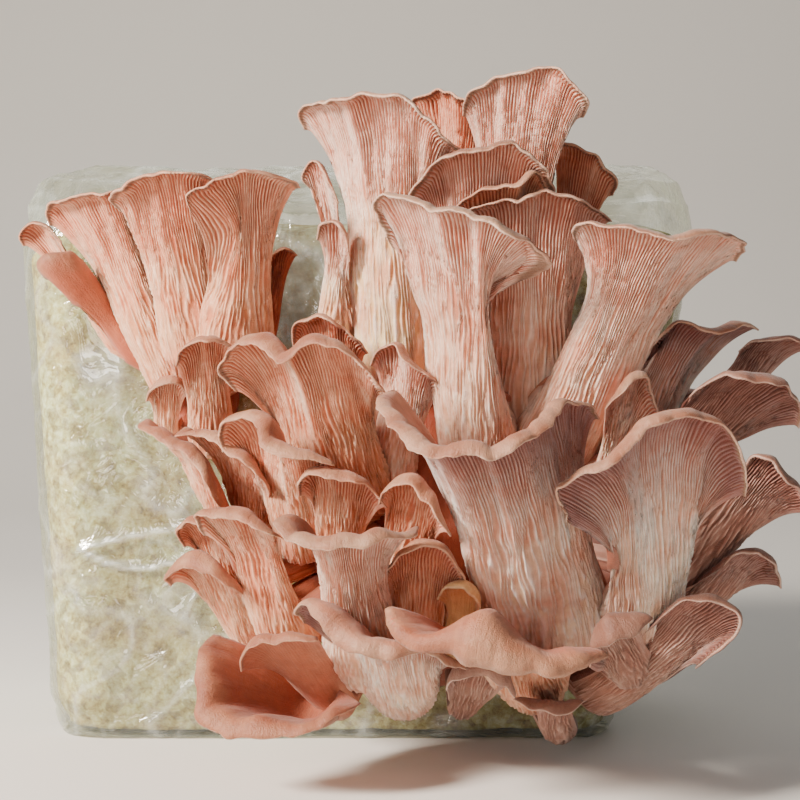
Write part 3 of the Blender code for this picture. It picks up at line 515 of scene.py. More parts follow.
def linear(hex_colour: str) -> tuple[float, float, float, float]:
    """An sRGB hex colour as linear red, green, blue and full alpha.

    Args:
        hex_colour: six hex digits after a hash sign.

    Returns:
        The four linear channels.
    """
    channels = [int(hex_colour[i : i + 2], 16) / 255 for i in (1, 3, 5)]
    curve = [c / 12.92 if c <= 0.04045 else ((c + 0.055) / 1.055) ** 2.4 for c in channels]
    return (*curve, 1.0)


def add_node(
    tree: bpy.types.NodeTree, kind: str, inputs: dict | None = None, **settings: object
) -> bpy.types.Node:
    """Add a shader node with its settings, and fill or link its inputs.

    Args:
        tree: the material's node tree.
        kind: the node's type without the word ShaderNode in front.
        inputs: input name or number to a value, or to the socket that feeds it.
        settings: the node's own properties.

    Returns:
        The new node.
    """
    node = tree.nodes.new("ShaderNode" + kind)
    for key, value in settings.items():
        setattr(node, key, value)
    for key, value in (inputs or {}).items():
        if isinstance(value, bpy.types.NodeSocket):
            tree.links.new(value, node.inputs[key])
        else:
            node.inputs[key].default_value = value
    return node


def blend(
    tree: bpy.types.NodeTree, share: Feed, first: Feed, second: Feed, kind: str = "MIX"
) -> bpy.types.NodeSocket:
    """Mix two colours by a share, where each may be a socket or a value."""
    mix = add_node(tree, "Mix", {0: share, 6: first, 7: second}, data_type="RGBA", blend_type=kind)
    return mix.outputs[2]


def ramp(tree: bpy.types.NodeTree, share: Feed, stops: tuple) -> bpy.types.NodeSocket:
    """A colour ramp through (place, hex colour) stops."""
    node = add_node(tree, "ValToRGB", {"Fac": share})
    elements = node.color_ramp.elements
    while len(elements) < len(stops):
        elements.new(0.5)
    for element, (place, colour) in zip(elements, stops):
        element.position = place
        element.color = linear(colour)
    return node.outputs["Color"]


def set_inputs(node: bpy.types.Node, values: dict) -> None:
    """Set the values of a node's inputs by their names."""
    for name, value in values.items():
        node.inputs[name].default_value = value


def new_shader(name: str) -> tuple[bpy.types.Material, bpy.types.NodeTree, bpy.types.Node]:
    """A new material with its tree and its Principled shader."""
    material = bpy.data.materials.new(name)
    material.use_nodes = True
    tree = material.node_tree
    return material, tree, tree.nodes["Principled BSDF"]


class Noise:
    """Smooth noise between about -1 and 1, from a seeded lattice of random slopes."""

    def __init__(self, seed: int) -> None:
        """Draw the lattice's order and slopes from the seed."""
        rng = np.random.default_rng(seed)
        self.order = rng.permutation(256)
        self.slopes = unit(rng.normal(size=(256, 3)))

    def at(self, points: np.ndarray) -> np.ndarray:
        """The noise at points in lattice steps.

        Each of a cell's eight corners gives its slope times the way from it, and an eased weight.
        """
        cell = np.floor(points).astype(np.int64)
        part = points - cell
        ease = part**3 * (part * (part * 6 - 15) + 10)
        total = np.zeros(points.shape[:-1])
        for corner in product((0, 1), repeat=3):
            key = np.zeros(points.shape[:-1], np.int64)
            for axis in range(3):
                key = self.order[(key + cell[..., axis] + corner[axis]) & 255]
            weight = np.where(corner, ease, 1 - ease).prod(axis=-1)
            total += weight * ((part - corner) * self.slopes[key]).sum(axis=-1)
        return 1.6 * total

    def layers(self, points: np.ndarray, count: int) -> np.ndarray:
        """A sum of layers, each at twice the last one's fineness and half its height."""
        return sum(self.at(points * 2**k + 17.3 * k) / 2**k for k in range(count))

    def over(self, across: np.ndarray, up: np.ndarray, level: float, count: int = 1) -> np.ndarray:
        """Layers over a sheet, from places across and up it and the level that it cuts the lattice at."""
        return self.layers(np.stack(np.broadcast_arrays(across, up, level), axis=-1), count)


def unit(vectors: np.ndarray) -> np.ndarray:
    """The vectors at length one."""
    return vectors / (np.linalg.norm(vectors, axis=-1, keepdims=True) + 1e-12)


def smooth_step(values: np.ndarray) -> np.ndarray:
    """0 to 1 with flat ends."""
    held = np.clip(values, 0, 1)
    return held * held * (3 - 2 * held)


def running_total(steps: np.ndarray) -> np.ndarray:
    """The sum so far at each place, from 0."""
    return np.concatenate([[0], np.cumsum(steps)])


def seen(point: tuple) -> np.ndarray:
    """The real place of a point read from the front: (steps right, steps down, millimetres forward)."""
    right, down, forward = point
    distance = SIGHT_DISTANCE - forward * MM
    x = SIGHT_X + (right - SIGHT_CENTRE) * distance / SIGHT_FOCUS
    z = SIGHT_Z + (SIGHT_CENTRE - down) * distance / SIGHT_FOCUS
    return np.array((x, FACE_Y - forward * MM, z))


def spline(points: np.ndarray, along: np.ndarray) -> np.ndarray:
    """Points of a smooth curve through the given ones, at shares of its length.

    Each stretch is a cubic whose end slopes are the mean of the chords that meet there.
    """
    steps = np.sqrt(np.linalg.norm(np.diff(points, axis=0), axis=1))
    knots = running_total(steps)
    chords = np.diff(points, axis=0) / np.diff(knots)[:, None]
    slopes = np.concatenate([chords[:1], (chords[1:] + chords[:-1]) / 2, chords[-1:]])
    lengths = running_total(steps**2)
    place = np.interp(along * lengths[-1], lengths, knots)
    index = np.clip(np.searchsorted(knots, place, side="right") - 1, 0, len(points) - 2)
    span = np.diff(knots)[index][:, None]
    t = (place - knots[index])[:, None] / span
    return (
        (1 + 2 * t) * (1 - t) ** 2 * points[index]
        + t * (1 - t) ** 2 * span * slopes[index]
        + t**2 * (3 - 2 * t) * points[index + 1]
        - t**2 * (1 - t) * span * slopes[index + 1]
    )


def between(values: np.ndarray, u: np.ndarray) -> np.ndarray:
    """Evenly spaced values read at shares u, on a cubic through each pair and its neighbours."""
    count = len(values) - 1
    padded = np.concatenate([2 * values[:1] - values[1:2], values, 2 * values[-1:] - values[-2:-1]])
    index = np.clip((u * count).astype(int), 0, count - 1)
    t = (u * count - index).reshape((-1,) + (1,) * (values.ndim - 1))
    a, b, c, d = (padded[index + k] for k in range(4))
    return b + t * (c - a) / 2 + t**2 * (a - 2.5 * b + 2 * c - d / 2) + t**3 * ((d - a) / 2 + 1.5 * (b - c))


def level_directions(degrees: np.ndarray) -> np.ndarray:
    """Level unit vectors, from 0 to the front and 90 to the right."""
    turn = np.radians(degrees)
    return np.stack([np.sin(turn), -np.cos(turn), np.zeros_like(turn)], axis=1)


def turn_between(first: np.ndarray, second: np.ndarray) -> np.ndarray:
    """The matrix of the shortest turn that takes one direction to another."""
    return np.array(Vector(first).rotation_difference(Vector(second)).to_matrix())


def make_mesh(name: str, points: np.ndarray, quads: np.ndarray, triangles: np.ndarray) -> bpy.types.Mesh:
    """A mesh of quads and triangles.

    Args:
        name: the mesh's name.
        points: one row for each vertex, in metres.
        quads: four vertex numbers in each row, anticlockwise from outside.
        triangles: three vertex numbers in each row, anticlockwise from outside.

    Returns:
        The new mesh, shaded smooth.
    """
    mesh = bpy.data.meshes.new(name)
    corners = np.concatenate([quads.ravel(), triangles.ravel()])
    starts = np.concatenate([4 * np.arange(len(quads)), 4 * len(quads) + 3 * np.arange(len(triangles))])
    mesh.vertices.add(len(points))
    mesh.vertices.foreach_set("co", points.astype(np.float32).ravel())
    mesh.loops.add(len(corners))
    mesh.loops.foreach_set("vertex_index", corners.astype(np.int32))
    mesh.polygons.add(len(starts))
    mesh.polygons.foreach_set("loop_start", starts.astype(np.int32))
    mesh.update(calc_edges=True)
    mesh.shade_smooth()
    return mesh


def add_values(mesh: bpy.types.Mesh, **fields: np.ndarray) -> None:
    """Store a number for each vertex under each name, for the materials to read."""
    for name, values in fields.items():
        layer = mesh.attributes.new(name, "FLOAT", "POINT")
        layer.data.foreach_set("value", values.astype(np.float32).ravel())


def add_piece(name: str, mesh: bpy.types.Mesh, finish: bpy.types.Material, slot: str, *nodes: str) -> None:
    """Put a mesh in the scene as a finished piece that stands for CAD nodes.

    Args:
        name: the piece's name.
        mesh: its finished mesh.
        finish: its material.
        slot: the record's material slot; not used.
        nodes: the CAD nodes that it replaces.
    """
    mesh.materials.append(finish)
    piece = bpy.data.objects.new(name, mesh)
    bpy.context.scene.collection.objects.link(piece)
    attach(piece, "root")
    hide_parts(*nodes)
    LOG.info("%s: %d faces", name, len(mesh.polygons))


def grid_quads(first: int, columns: int, rows: int, inward: bool = False) -> np.ndarray:
    """The quads of a grid of vertices numbered column by column from first."""
    number = first + np.arange(columns * rows).reshape(columns, rows)
    quads = [number[:-1, :-1], number[1:, :-1], number[1:, 1:], number[:-1, 1:]]
    return np.stack(quads[::-1] if inward else quads, axis=-1).reshape(-1, 4)


def capped(
    name: str, below: np.ndarray, rings: np.ndarray, above: np.ndarray, turned: bool
) -> bpy.types.Mesh:
    """A closed mesh of rings of vertices, with a pole at each end.

    Args:
        name: the mesh's name.
        below: the pole before the first ring.
        rings: the rings' points, as rings by points by three.
        above: the pole after the last ring.
        turned: whether the faces look the other way.

    Returns:
        The new mesh.
    """
    rows, count = rings.shape[:2]
    number = 1 + np.arange(rows * count).reshape(rows, count)
    following = np.roll(number, -1, axis=1)
    quads = np.stack([number[:-1], following[:-1], following[1:], number[1:]], axis=-1).reshape(-1, 4)
    first = np.stack([np.zeros(count, int), following[0], number[0]], axis=1)
    last = np.stack([np.full(count, rows * count + 1), number[-1], following[-1]], axis=1)
    triangles = np.concatenate([first, last])
    points = np.concatenate([[below], rings.reshape(-1, 3), [above]])
    step = -1 if turned else 1
    return make_mesh(name, points, quads[:, ::step], triangles[:, ::step])


def zipped(
    first: np.ndarray, second: np.ndarray, first_at: np.ndarray, second_at: np.ndarray, turned: bool = False
) -> np.ndarray:
    """Triangles that close the gap between two lines of vertices.

    Each step of one line makes a triangle with the vertex that the other line has reached by then.

    Args:
        first: vertex numbers along one line.
        second: vertex numbers along the other.
        first_at: a rising share for each vertex of the first line.
        second_at: the same for the second line.
        turned: whether the triangles face the other way.

    Returns:
        Three vertex numbers in each row.
    """
    ours_at = (first_at[:-1] + first_at[1:]) / 2
    theirs_at = (second_at[:-1] + second_at[1:]) / 2 + 1e-7
    ours = np.stack([first[:-1], first[1:], second[np.searchsorted(theirs_at, ours_at)]], axis=1)
    theirs = np.stack([second[1:], second[:-1], first[np.searchsorted(ours_at, theirs_at)]], axis=1)
    triangles = np.concatenate([ours, theirs])
    return triangles[:, ::-1] if turned else triangles


@dataclass(frozen=True)
class FleshFinish:
    """Mushroom flesh, soft and matt: pale crests on deeper valleys between the gills, and a velvety cap.

    name: the material's name.
    valley, flank, crest: the gills' colours, from between them up to their tops; the darker valleys are
    partly painted shade and the pale crests partly painted highlight.
    foot: the colour of the valleys low on the stem.
    cap, cap_shade: the two colours of the cap's blotches.
    lip, edge: the rolled rim, and the thin line along its end.
    high: a tint over the upper half of the gills, partly the flesh's own mauve and partly painted shade
    under the rolled lip.
    """

    name: str
    valley: str
    flank: str
    crest: str
    foot: str
    cap: str = "#B0866A"
    cap_shade: str = "#946950"
    lip: str = "#96745E"
    edge: str = "#D8B49E"
    high: str = "#F3E6E4"

    def material(self) -> bpy.types.Material:
        """The flesh, whose colour follows the gills up the sheet under blotches, mottling and wrinkles."""
        material, tree, shader = new_shader(self.name)
        place = add_node(tree, "TexCoord").outputs["Object"]
        gill, along, side, across = (
            add_node(tree, "Attribute", attribute_name=name).outputs["Fac"]
            for name in ("gill", "along", "side", "across")
        )
        broad, small, grain = (
            add_node(tree, "TexNoise", {"Vector": place, "Scale": scale, "Detail": detail}).outputs["Fac"]
            for scale, detail in ((BLOTCHES, 3), (MOTTLING, 4), (GRAIN, 2))
        )

        # Fine wrinkles that run up the sheet: noise that is drawn out along it
        up = add_node(tree, "Math", {0: along, 1: 9.0}, operation="MULTIPLY").outputs[0]
        sheet = add_node(tree, "CombineXYZ", {0: across, 1: up}).outputs[0]
        wrinkles = {"Vector": sheet, "Scale": 0.8, "Detail": 3, "Distortion": 0.4}
        lines = add_node(tree, "TexNoise", wrinkles).outputs["Fac"]

        # The gills: each stop is a depth between two crests, with darker valleys partly painted shade and
        # paler crests partly painted highlight, and low on the stem the foot's colour comes in
        blades = ramp(tree, gill, ((0.0, self.valley), (0.4, self.flank), (0.95, self.crest)))
        deep = blend(tree, gill, linear(self.foot), linear(self.crest))
        stem = ramp(tree, along, ((0.0, "#555555"), (0.14, "#FFFFFF"), (0.62, "#000000")))
        stem = add_node(tree, "Math", {0: stem, 1: broad}, operation="MULTIPLY").outputs[0]
        stem = add_node(tree, "Math", {0: stem, 1: 1.5}, operation="MULTIPLY", use_clamp=True).outputs[0]
        blades = blend(tree, stem, blades, deep)
        # Painted shade under the rolled lip: the upper gills are tinted towards the high colour, partly the
        # flesh's own mauve
        high = ramp(tree, along, ((0.45, "#FFFFFF"), (0.8, self.high)))
        blades = blend(tree, 1.0, blades, high, "MULTIPLY")

        # The rolled lip, and the pale line where it ends
        lip = ramp(tree, along, ((0.925, "#000000"), (0.955, "#FFFFFF")))
        blades = blend(tree, lip, blades, linear(self.lip))
        margin = ramp(tree, along, ((0.982, "#000000"), (0.998, "#FFFFFF")))
        blades = blend(tree, margin, blades, linear(self.edge))

        # The cap: tan velvet in blotches, turning low down to the valley colour, partly the stem's own
        # salmon and partly painted shade in the gaps between the bodies
        blotch = ramp(tree, broad, ((0.35, "#000000"), (0.65, "#FFFFFF")))
        velvet = blend(tree, blotch, linear(self.cap_shade), linear(self.cap))
        low = ramp(tree, along, ((0.7, "#FFFFFF"), (0.93, "#000000")))
        velvet = blend(tree, low, velvet, linear(self.valley))
        rim = ramp(tree, side, ((0.0, "#000000"), (0.5, "#FFFFFF"), (0.9, "#000000")))
        colour = blend(tree, side, blades, velvet)
        colour = blend(tree, rim, colour, linear(self.edge))

        # Over all of it: mottling, darker wrinkles and a warm flush
        mottle = ramp(tree, small, ((0.3, "#D9CFCB"), (0.62, "#FFFFFF")))
        wrinkle = ramp(tree, lines, ((0.36, "#CDB4AA"), (0.56, "#FFFFFF")))
        flush = ramp(tree, broad, ((0.38, "#F6BEA2"), (0.58, "#FFFFFF")))
        for share, tint in ((0.5, mottle), (0.2, wrinkle), (0.4, flush)):
            colour = blend(tree, share, colour, tint, "MULTIPLY")
        tree.links.new(colour, shader.inputs["Base Color"])
        height = add_node(tree, "Math", {0: small, 1: grain}, operation="ADD").outputs[0]
        height = add_node(tree, "Math", {0: lines, 1: 1.0, 2: height}, operation="MULTIPLY_ADD").outputs[0]
        bump = add_node(tree, "Bump", {"Height": height, "Strength": 0.7, "Distance": 0.45 * MM})
        tree.links.new(bump.outputs[0], shader.inputs["Normal"])
        set_inputs(shader, {"Roughness": 0.52, "Sheen Weight": 0.15, "Subsurface Weight": 0.18})
        set_inputs(shader, {"Subsurface Radius": (1.0, 0.4, 0.25), "Subsurface Scale": 0.9 * MM})
        return material


PINK = FleshFinish("pink_flesh", "#C67E60", "#E8B298", "#FFEEDE", "#EFC298")
FLESH = {
    Tone.PINK: PINK,
    Tone.GOLDEN: replace(PINK, name="golden_footed_flesh", foot="#F8D88C"),
    # Dusky: the dark mauve tint over the upper gills is partly the flesh's own mauve and partly painted
    # shade under the lip
    Tone.DUSKY: FleshFinish(
        "dusky_topped_flesh", "#C4826A", "#E8BAA2", "#FFF8F0", "#FFE4BE",
        "#B4866C", "#98694F", "#96745C", "#D4B09A", high="#A8898C",
    ),
    Tone.SALMON: FleshFinish(
        "salmon_flesh", "#C06A48", "#E69E78", "#FCD6B8", "#E0945C",
        "#B48264", "#986448", "#946A54", "#D6A88C",
    ),
    Tone.RUSSET: FleshFinish(
        "russet_flesh", "#A45A3E", "#C07C5C", "#E0AC8E", "#B4623E",
        "#A86E50", "#8C5238", "#9A6650", "#CC9C80",
    ),
    # Mauve: dark and red partly as painted shade, for the bodies on the shaded right side and under the
    # lips
    Tone.MAUVE: FleshFinish(
        "mauve_flesh", "#6E3E30", "#A06E5C", "#DAB6A6", "#A67258",
        "#9A705E", "#7A5342", "#A07860", "#CFAE9E", high="#E0D0D4",
    ),
    # Dark orange, for the shaded bud and the knots: partly painted shade, for the bud's place in shade
    Tone.ORANGE: FleshFinish(
        "dark_orange_flesh", "#7E3119", "#A84E2B", "#C97850", "#933C1E",
        "#A05636", "#7F3D22", "#A05636", "#CF9878",
    ),
    Tone.AMBER: FleshFinish(
        "amber_flesh", "#D99F5E", "#E7B97C", "#F2D29C", "#E3AE6C",
        "#E8BC80", "#D8A263", "#E8BC80", "#F2D8AC",
    ),
}


class Sheet:
    """The surface of one fruit body: from its foot on the knot up to the rolled rim."""

    def __init__(self, body: FruitBody, seed: int) -> None:
        """Work out the stem's ring and foot, and the frames along the rim."""
        self.body = body
        self.noise = Noise(seed)
        self.outline = np.array([seen(point) for point in body.rim])
        coarse = np.linspace(0, 1, body.columns + 1)
        rim = spline(self.outline, coarse)
        fine = spline(self.outline, np.linspace(0, 1, 200))
        self.length = float(np.linalg.norm(np.diff(fine, axis=0), axis=1).sum())
        self.stand(rim.mean(axis=0))
        self.outward, self.climb = self.rim_frames(rim, self.round_stem(coarse) @ self.tilt.T)
        self.room = self.fold_room(rim)
        self.reach = float(np.linalg.norm(rim - self.start, axis=1).max())

    def stand(self, rim_middle: np.ndarray) -> None:
        """Place the stem's ring just off its knot, and its foot on the knot, and tilt both."""
        body = self.body
        centre, radii = np.array(body.knot[0]), np.array(body.knot[1])
        offset = seen(body.base) - centre
        depth = np.linalg.norm(offset / radii)
        self.start = centre + offset * max(1, KNOT_CLEARANCE / depth)
        square = unit(offset / depth / radii**2)
        self.foot = centre + offset / depth * FOOT_SINK
        self.axis = unit(unit(rim_middle - self.start) + OUTGROWTH * unit(offset))
        self.tilt = turn_between(np.array((0, 0, 1)), self.axis)
        self.foot_tilt = turn_between(self.axis, square) @ self.tilt

    def round_stem(self, u: np.ndarray) -> np.ndarray:
        """Level directions round the stem, from the cap's left end to its right end."""
        return level_directions(self.body.facing + self.body.wrap * (u - 0.5))

    def round_back(self, u: np.ndarray) -> np.ndarray:
        """Level directions round the back of the stem, in the same order."""
        body = self.body
        slot = math.degrees(EDGE / (body.radius * MM))
        return level_directions(body.facing - body.wrap / 2 - slot - (360 - body.wrap - 2 * slot) * u)

    def ring(self, directions: np.ndarray, foot: bool = False) -> np.ndarray:
        """The stem's ring, or its foot's, in the given level directions."""
        place, tilt, share = (self.foot, self.foot_tilt, FOOT_SHARE) if foot else (self.start, self.tilt, 1)
        return place + self.body.radius * MM * share * (directions * (1, self.body.flat, 1)) @ tilt.T

    def rim_frames(self, rim: np.ndarray, fallback: np.ndarray) -> tuple[np.ndarray, np.ndarray]:
        """At each rim point, the way the gills face and the way the wall climbs, square to each other."""
        climb = unit(rim - self.start)
        outward = np.cross(unit(np.gradient(rim, axis=0)), climb) + RING_PULL * fallback
        for _ in range(2):
            middle = (outward[:-2] + 2 * outward[1:-1] + outward[2:]) / 4
            outward = np.concatenate([outward[:1], middle, outward[-1:]])
        outward = unit(outward)
        return outward, unit(climb - (climb * outward).sum(axis=1)[:, None] * outward)

    def fold_room(self, rim: np.ndarray) -> np.ndarray:
        """1 where the rim bulges, less in a fold, where a rolled lip would run into the other side."""
        steps = np.gradient(rim, axis=0)
        spread = (np.gradient(self.outward, axis=0) * steps).sum(axis=1) / (steps**2).sum(axis=1)
        room = np.clip(1 + spread * FOLD_REACH, LEAST_ROOM, 1)
        for _ in range(2):
            room = np.minimum(room, np.convolve(np.pad(room, 1, "edge"), (0.25, 0.5, 0.25), "valid"))
        return room

    def surface(self, u: np.ndarray, v: np.ndarray) -> tuple[np.ndarray, np.ndarray]:
        """The gill side without its gills, as a grid of points and their outward directions.

        Each column is a cubic curve from the stem's ring to the rolled rim, then an arc for the roll.
        Soft waves grow towards the rim. Shares of v below 0 lead down to the foot.
        """
        body = self.body
        rim = spline(self.outline, u)
        directions = self.round_stem(u)
        ring = self.ring(directions)
        outward = unit(between(self.outward, u))
        climb = between(self.climb, u)
        climb = unit(climb - (climb * outward).sum(axis=1)[:, None] * outward)
        room = np.clip(between(self.room, u), LEAST_ROOM, 1)[:, None]

        flare = math.pi / 2 - (math.pi / 2 - math.radians(body.flare)) * room
        roll = flare - math.radians(body.flare - body.roll) * room
        swell = SIDE_CURL + (1 - SIDE_CURL) * np.abs(np.sin(np.pi * u)) ** 0.7
        swell += body.peak * np.exp(-(((u - body.peak_at) / PEAK_SPAN) ** 2))
        bend = body.curl * MM * swell[:, None] / math.radians(body.flare - body.roll)
        lip = bend * ((np.sin(flare) - np.sin(roll)) * outward + (np.cos(roll) - np.cos(flare)) * climb)
        wall_end = rim - lip
        run = wall_end - ring
        reach = np.linalg.norm(run, axis=1)[:, None]
        rise = outward * np.cos(flare) + climb * np.sin(flare)
        first = ring + STEM_HANDLE * (self.axis * reach * (1 - body.straight) + run * body.straight)
        last = wall_end - RIM_HANDLE * (rise * reach * (1 - body.straight / 2) + run * body.straight / 2)
        wall = np.clip(v / (1 - LIP_SPAN), 0, 1)[None, :, None]
        points = (
            (1 - wall) ** 3 * ring[:, None]
            + 3 * wall * (1 - wall) ** 2 * first[:, None]
            + 3 * wall**2 * (1 - wall) * last[:, None]
            + wall**3 * wall_end[:, None]
        )
        slope = flare - np.clip((v - 1 + LIP_SPAN) / LIP_SPAN, 0, 1)[None, :] * (flare - roll)
        points += (bend * (np.sin(flare) - np.sin(slope)))[:, :, None] * outward[:, None]
        points += (bend * (np.cos(slope) - np.cos(flare)))[:, :, None] * climb[:, None]

        waves = self.waves(u, v)
        away = waves[:, :, :1] + self.belly(points, u, v)
        points += away * outward[:, None] + waves[:, :, 1:] * climb[:, None]
        drawn = body.tucks[0] * self.near_end(1 - u) - body.tucks[1] * self.near_end(u)
        points[..., 0] += drawn[:, None] * MM * np.sin(np.pi * np.clip(v / (1 - LIP_SPAN), 0, 1) ** 2)
        foot_ring = self.ring(directions, foot=True)
        down = np.clip(-v / FOOT_SPAN, 0, 1)[None, :, None]
        points = points * (1 - down) + foot_ring[:, None] * down
        normals = np.cross(np.gradient(points, u, axis=0), np.gradient(points, v, axis=1))
        return points, unit(normals)

    def near_end(self, u: np.ndarray) -> np.ndarray:
        """1 around four fifths of the way along the rim, 0 before its middle, and less at its end."""
        return smooth_step((u - 0.42) / 0.34) * (1 - 0.6 * smooth_step((u - 0.8) / 0.2))

    def belly(self, points: np.ndarray, u: np.ndarray, v: np.ndarray) -> np.ndarray:
        """How far the wall swells: full along the middle, drawn in at the sides, with soft bulges."""
        height = np.sin(np.pi * np.clip(v / (1 - LIP_SPAN), 0, 1))[None, :]
        swell = BELLY * self.body.belly * min(1, self.length / BELLY_SPAN)
        across = (np.sin(np.pi * u) - 0.55)[:, None] * swell
        bulges = self.noise.at(points / BULGE_SPACING + 60) * BULGE
        return ((across + bulges) * height)[..., None]

    def waves(self, u: np.ndarray, v: np.ndarray) -> np.ndarray:
        """How far the sheet waves outward and upward: broad and short waves that grow to the rim."""
        across, up = np.meshgrid(u * self.length / RUFFLE_SPACING / self.body.ruffle, v, indexing="ij")
        grown = smooth_step((up - 0.35) / 0.6) * RUFFLE
        ends = smooth_step(np.minimum(u, 1 - u) * self.length / CALM_END)[:, None]
        crinkle = smooth_step((up - 0.8) / 0.2) * CRINKLE
        out = self.noise.over(across, up * 1.5, 0, count=2) * grown * (0.3 + 0.7 * ends)
        out += self.noise.over(across * 3.1, up * 2, 5) * crinkle * ends
        lift = self.noise.over(across * 1.3 + 40, 9, 0, count=2) * grown * 0.6 * ends
        lift += self.noise.over(across * 2.7, 2, 5) * crinkle * ends
        return np.stack([out, lift], axis=-1) * self.body.ruffle

    def shares(self, gap: float, lip_gap: float, foot_rows: int) -> np.ndarray:
        """Shares up the sheet: foot rows below 0, even rows up the wall, then closer ones on the lip."""
        wall = max(4, round(self.reach / gap))
        lip = max(3, round(self.body.curl * MM / lip_gap))
        foot = -np.linspace(FOOT_SPAN, 0, foot_rows, endpoint=False)
        climb = np.linspace(0, 1 - LIP_SPAN, wall, endpoint=False)
        return np.concatenate([foot, climb, np.linspace(1 - LIP_SPAN, 1, lip + 1)])

    def gills(self, u: np.ndarray, v: np.ndarray, count: int) -> tuple[np.ndarray, np.ndarray]:
        """The gills' height from 0 to 1, and how strongly they stand out.

        Every fourth gill runs from the foot to the rim. Every second one starts just above the foot, and
        the rest start halfway up, each where its own number says. Low down the ridges wander.
        """
        across, up = np.meshgrid(u * count, v, indexing="ij")
        wander = self.noise.over(across / 6, up * 7, 3, count=2)
        line = across + wander * (0.5 + 3.6 * (1 - smooth_step((up + 0.1) / 0.9)))
        jitter = self.noise.slopes[self.noise.order[np.round(line).astype(int) & 255]]
        fine = smooth_step((up - FINE_START - 0.16 * jitter[..., 0]) / 0.07)
        middle = smooth_step((up - MIDDLE_START - 0.12 * jitter[..., 1]) / 0.12)

        def ridges(every: int) -> np.ndarray:
            """Rounded crests on every such gill, narrower where they stand further apart."""
            return (0.5 + 0.5 * np.cos(2 * np.pi * line / every)) ** (2.2 if every == 1 else 3.4)

        height = ridges(4) * (1 - middle) + ridges(2) * middle
        height = height * (1 - fine) + ridges(1) * fine
        sides = smooth_step(np.minimum(u, 1 - u) * self.length / SIDE_MARGIN)[:, None]
        margin = 1 - 0.84 * smooth_step((up - 1 + LIP_SPAN * 0.45) / (LIP_SPAN * 0.4))
        breaks = self.noise.over(line * 0.35, up * 9, 8, count=2)
        breaks = 1 - 0.55 * (1 - smooth_step((up - 0.35) / 0.4)) * smooth_step(0.5 + 1.2 * breaks)
        strength = sides * margin * breaks * (0.8 + 0.2 * smooth_step(up / 0.45))
        strength *= 1 if self.body.gilled else BARE_SHARE
        return height, strength

    def mesh(self) -> bpy.types.Mesh:
        """The closed sheet: gilled in front, smooth behind, with a thin round edge."""
        body = self.body
        count = 4 * max(3, round(self.length / GILL_SPACING / 4))
        u = np.linspace(0, 1, count * GILL_COLUMNS + 1)
        v = self.shares(ROW_SPACING, LIP_ROW, FOOT_ROWS)
        front, normals = self.surface(u, v)
        height, strength = self.gills(u, v, count)
        front += normals * ((height - GILL_LEVEL) * strength * GILL_DEPTH)[..., None]
        gill = height * strength + (FLAT_TINT if body.gilled else BARE_TINT) * (1 - strength)
        edge_size = self.depth(u, v[-1:])[:, 0, None]
        tip = unit(front[:, -1] - front[:, -2])
        edge = front[:, -1] - normals[:, -1] * edge_size * 0.5 + tip * edge_size * 0.35
        front = np.concatenate([front, edge[:, None]], axis=1)
        front_v = np.append(v, 1.02)
        gill = np.concatenate([gill, gill[:, -1:]], axis=1)

        back_u = np.linspace(0, 1, count + 1)
        back_v = self.shares(2 * ROW_SPACING, 1.5 * LIP_ROW, 2)
        back, normals = self.surface(back_u, back_v)
        middle = back.mean(axis=0) - back.mean(axis=0)[back_v.searchsorted(0)]
        velvet = self.noise.layers(back / VELVET_SPACING, 2) * VELVET * smooth_step(back_v)
        back = back - normals * (self.depth(back_u, back_v) + velvet)[..., None]
        directions = self.round_back(back_u)
        ring, foot_ring = self.ring(directions), self.ring(directions, foot=True)
        down = np.clip(-back_v / FOOT_SPAN, 0, 1)[None, :, None]
        rear = (ring[:, None] + middle[None]) * (1 - down) + foot_ring[:, None] * down
        share = smooth_step(back_v / CHANNEL_SPAN)[None, :, None]
        back = rear * (1 - share) + back * share

        columns, rows = front.shape[:2]
        back_columns, back_rows = back.shape[:2]
        first = np.arange(columns * rows).reshape(columns, rows)
        second = columns * rows + np.arange(back_columns * back_rows).reshape(back_columns, back_rows)
        inner = grid_quads(columns * rows, back_columns, back_rows, inward=True)
        quads = np.concatenate([grid_quads(0, columns, rows), inner])
        seams = (
            zipped(first[:, -1], second[:, -1], u, back_u),
            zipped(first[:, 0], second[:, 0], u, back_u, turned=True),
            zipped(first[0], second[0], front_v, back_v),
            zipped(first[-1], second[-1], front_v, back_v, turned=True),
        )
        points = np.concatenate([front.reshape(-1, 3), back.reshape(-1, 3)])
        mesh = make_mesh(body.name, points, quads, np.concatenate(seams))
        side = np.zeros((columns, rows))
        side[:, -1] = 0.5
        up = np.broadcast_to(front_v, (columns, rows))
        back_up = np.broadcast_to(back_v, (back_columns, back_rows))
        add_values(
            mesh,
            gill=np.concatenate([gill.ravel(), np.full(back_columns * back_rows, 0.5)]),
            along=np.clip(np.concatenate([up.ravel(), back_up.ravel()]), 0, 1),
            side=np.concatenate([side.ravel(), np.ones(back_columns * back_rows)]),
            across=np.concatenate([np.repeat(u, rows), np.repeat(back_u, back_rows)]) * self.length / MM,
        )
        return mesh

    def depth(self, u: np.ndarray, v: np.ndarray) -> np.ndarray:
        """The flesh's thickness: most along the middle, thin at the sides and towards the rim."""
        across = np.sin(np.pi * np.clip(u, 0.001, 0.999))[:, None] ** 0.8
        up = 1 - 0.88 * np.clip(v, 0, 1)[None, :]
        return EDGE + (self.body.thick * MM - EDGE) * (across * up)


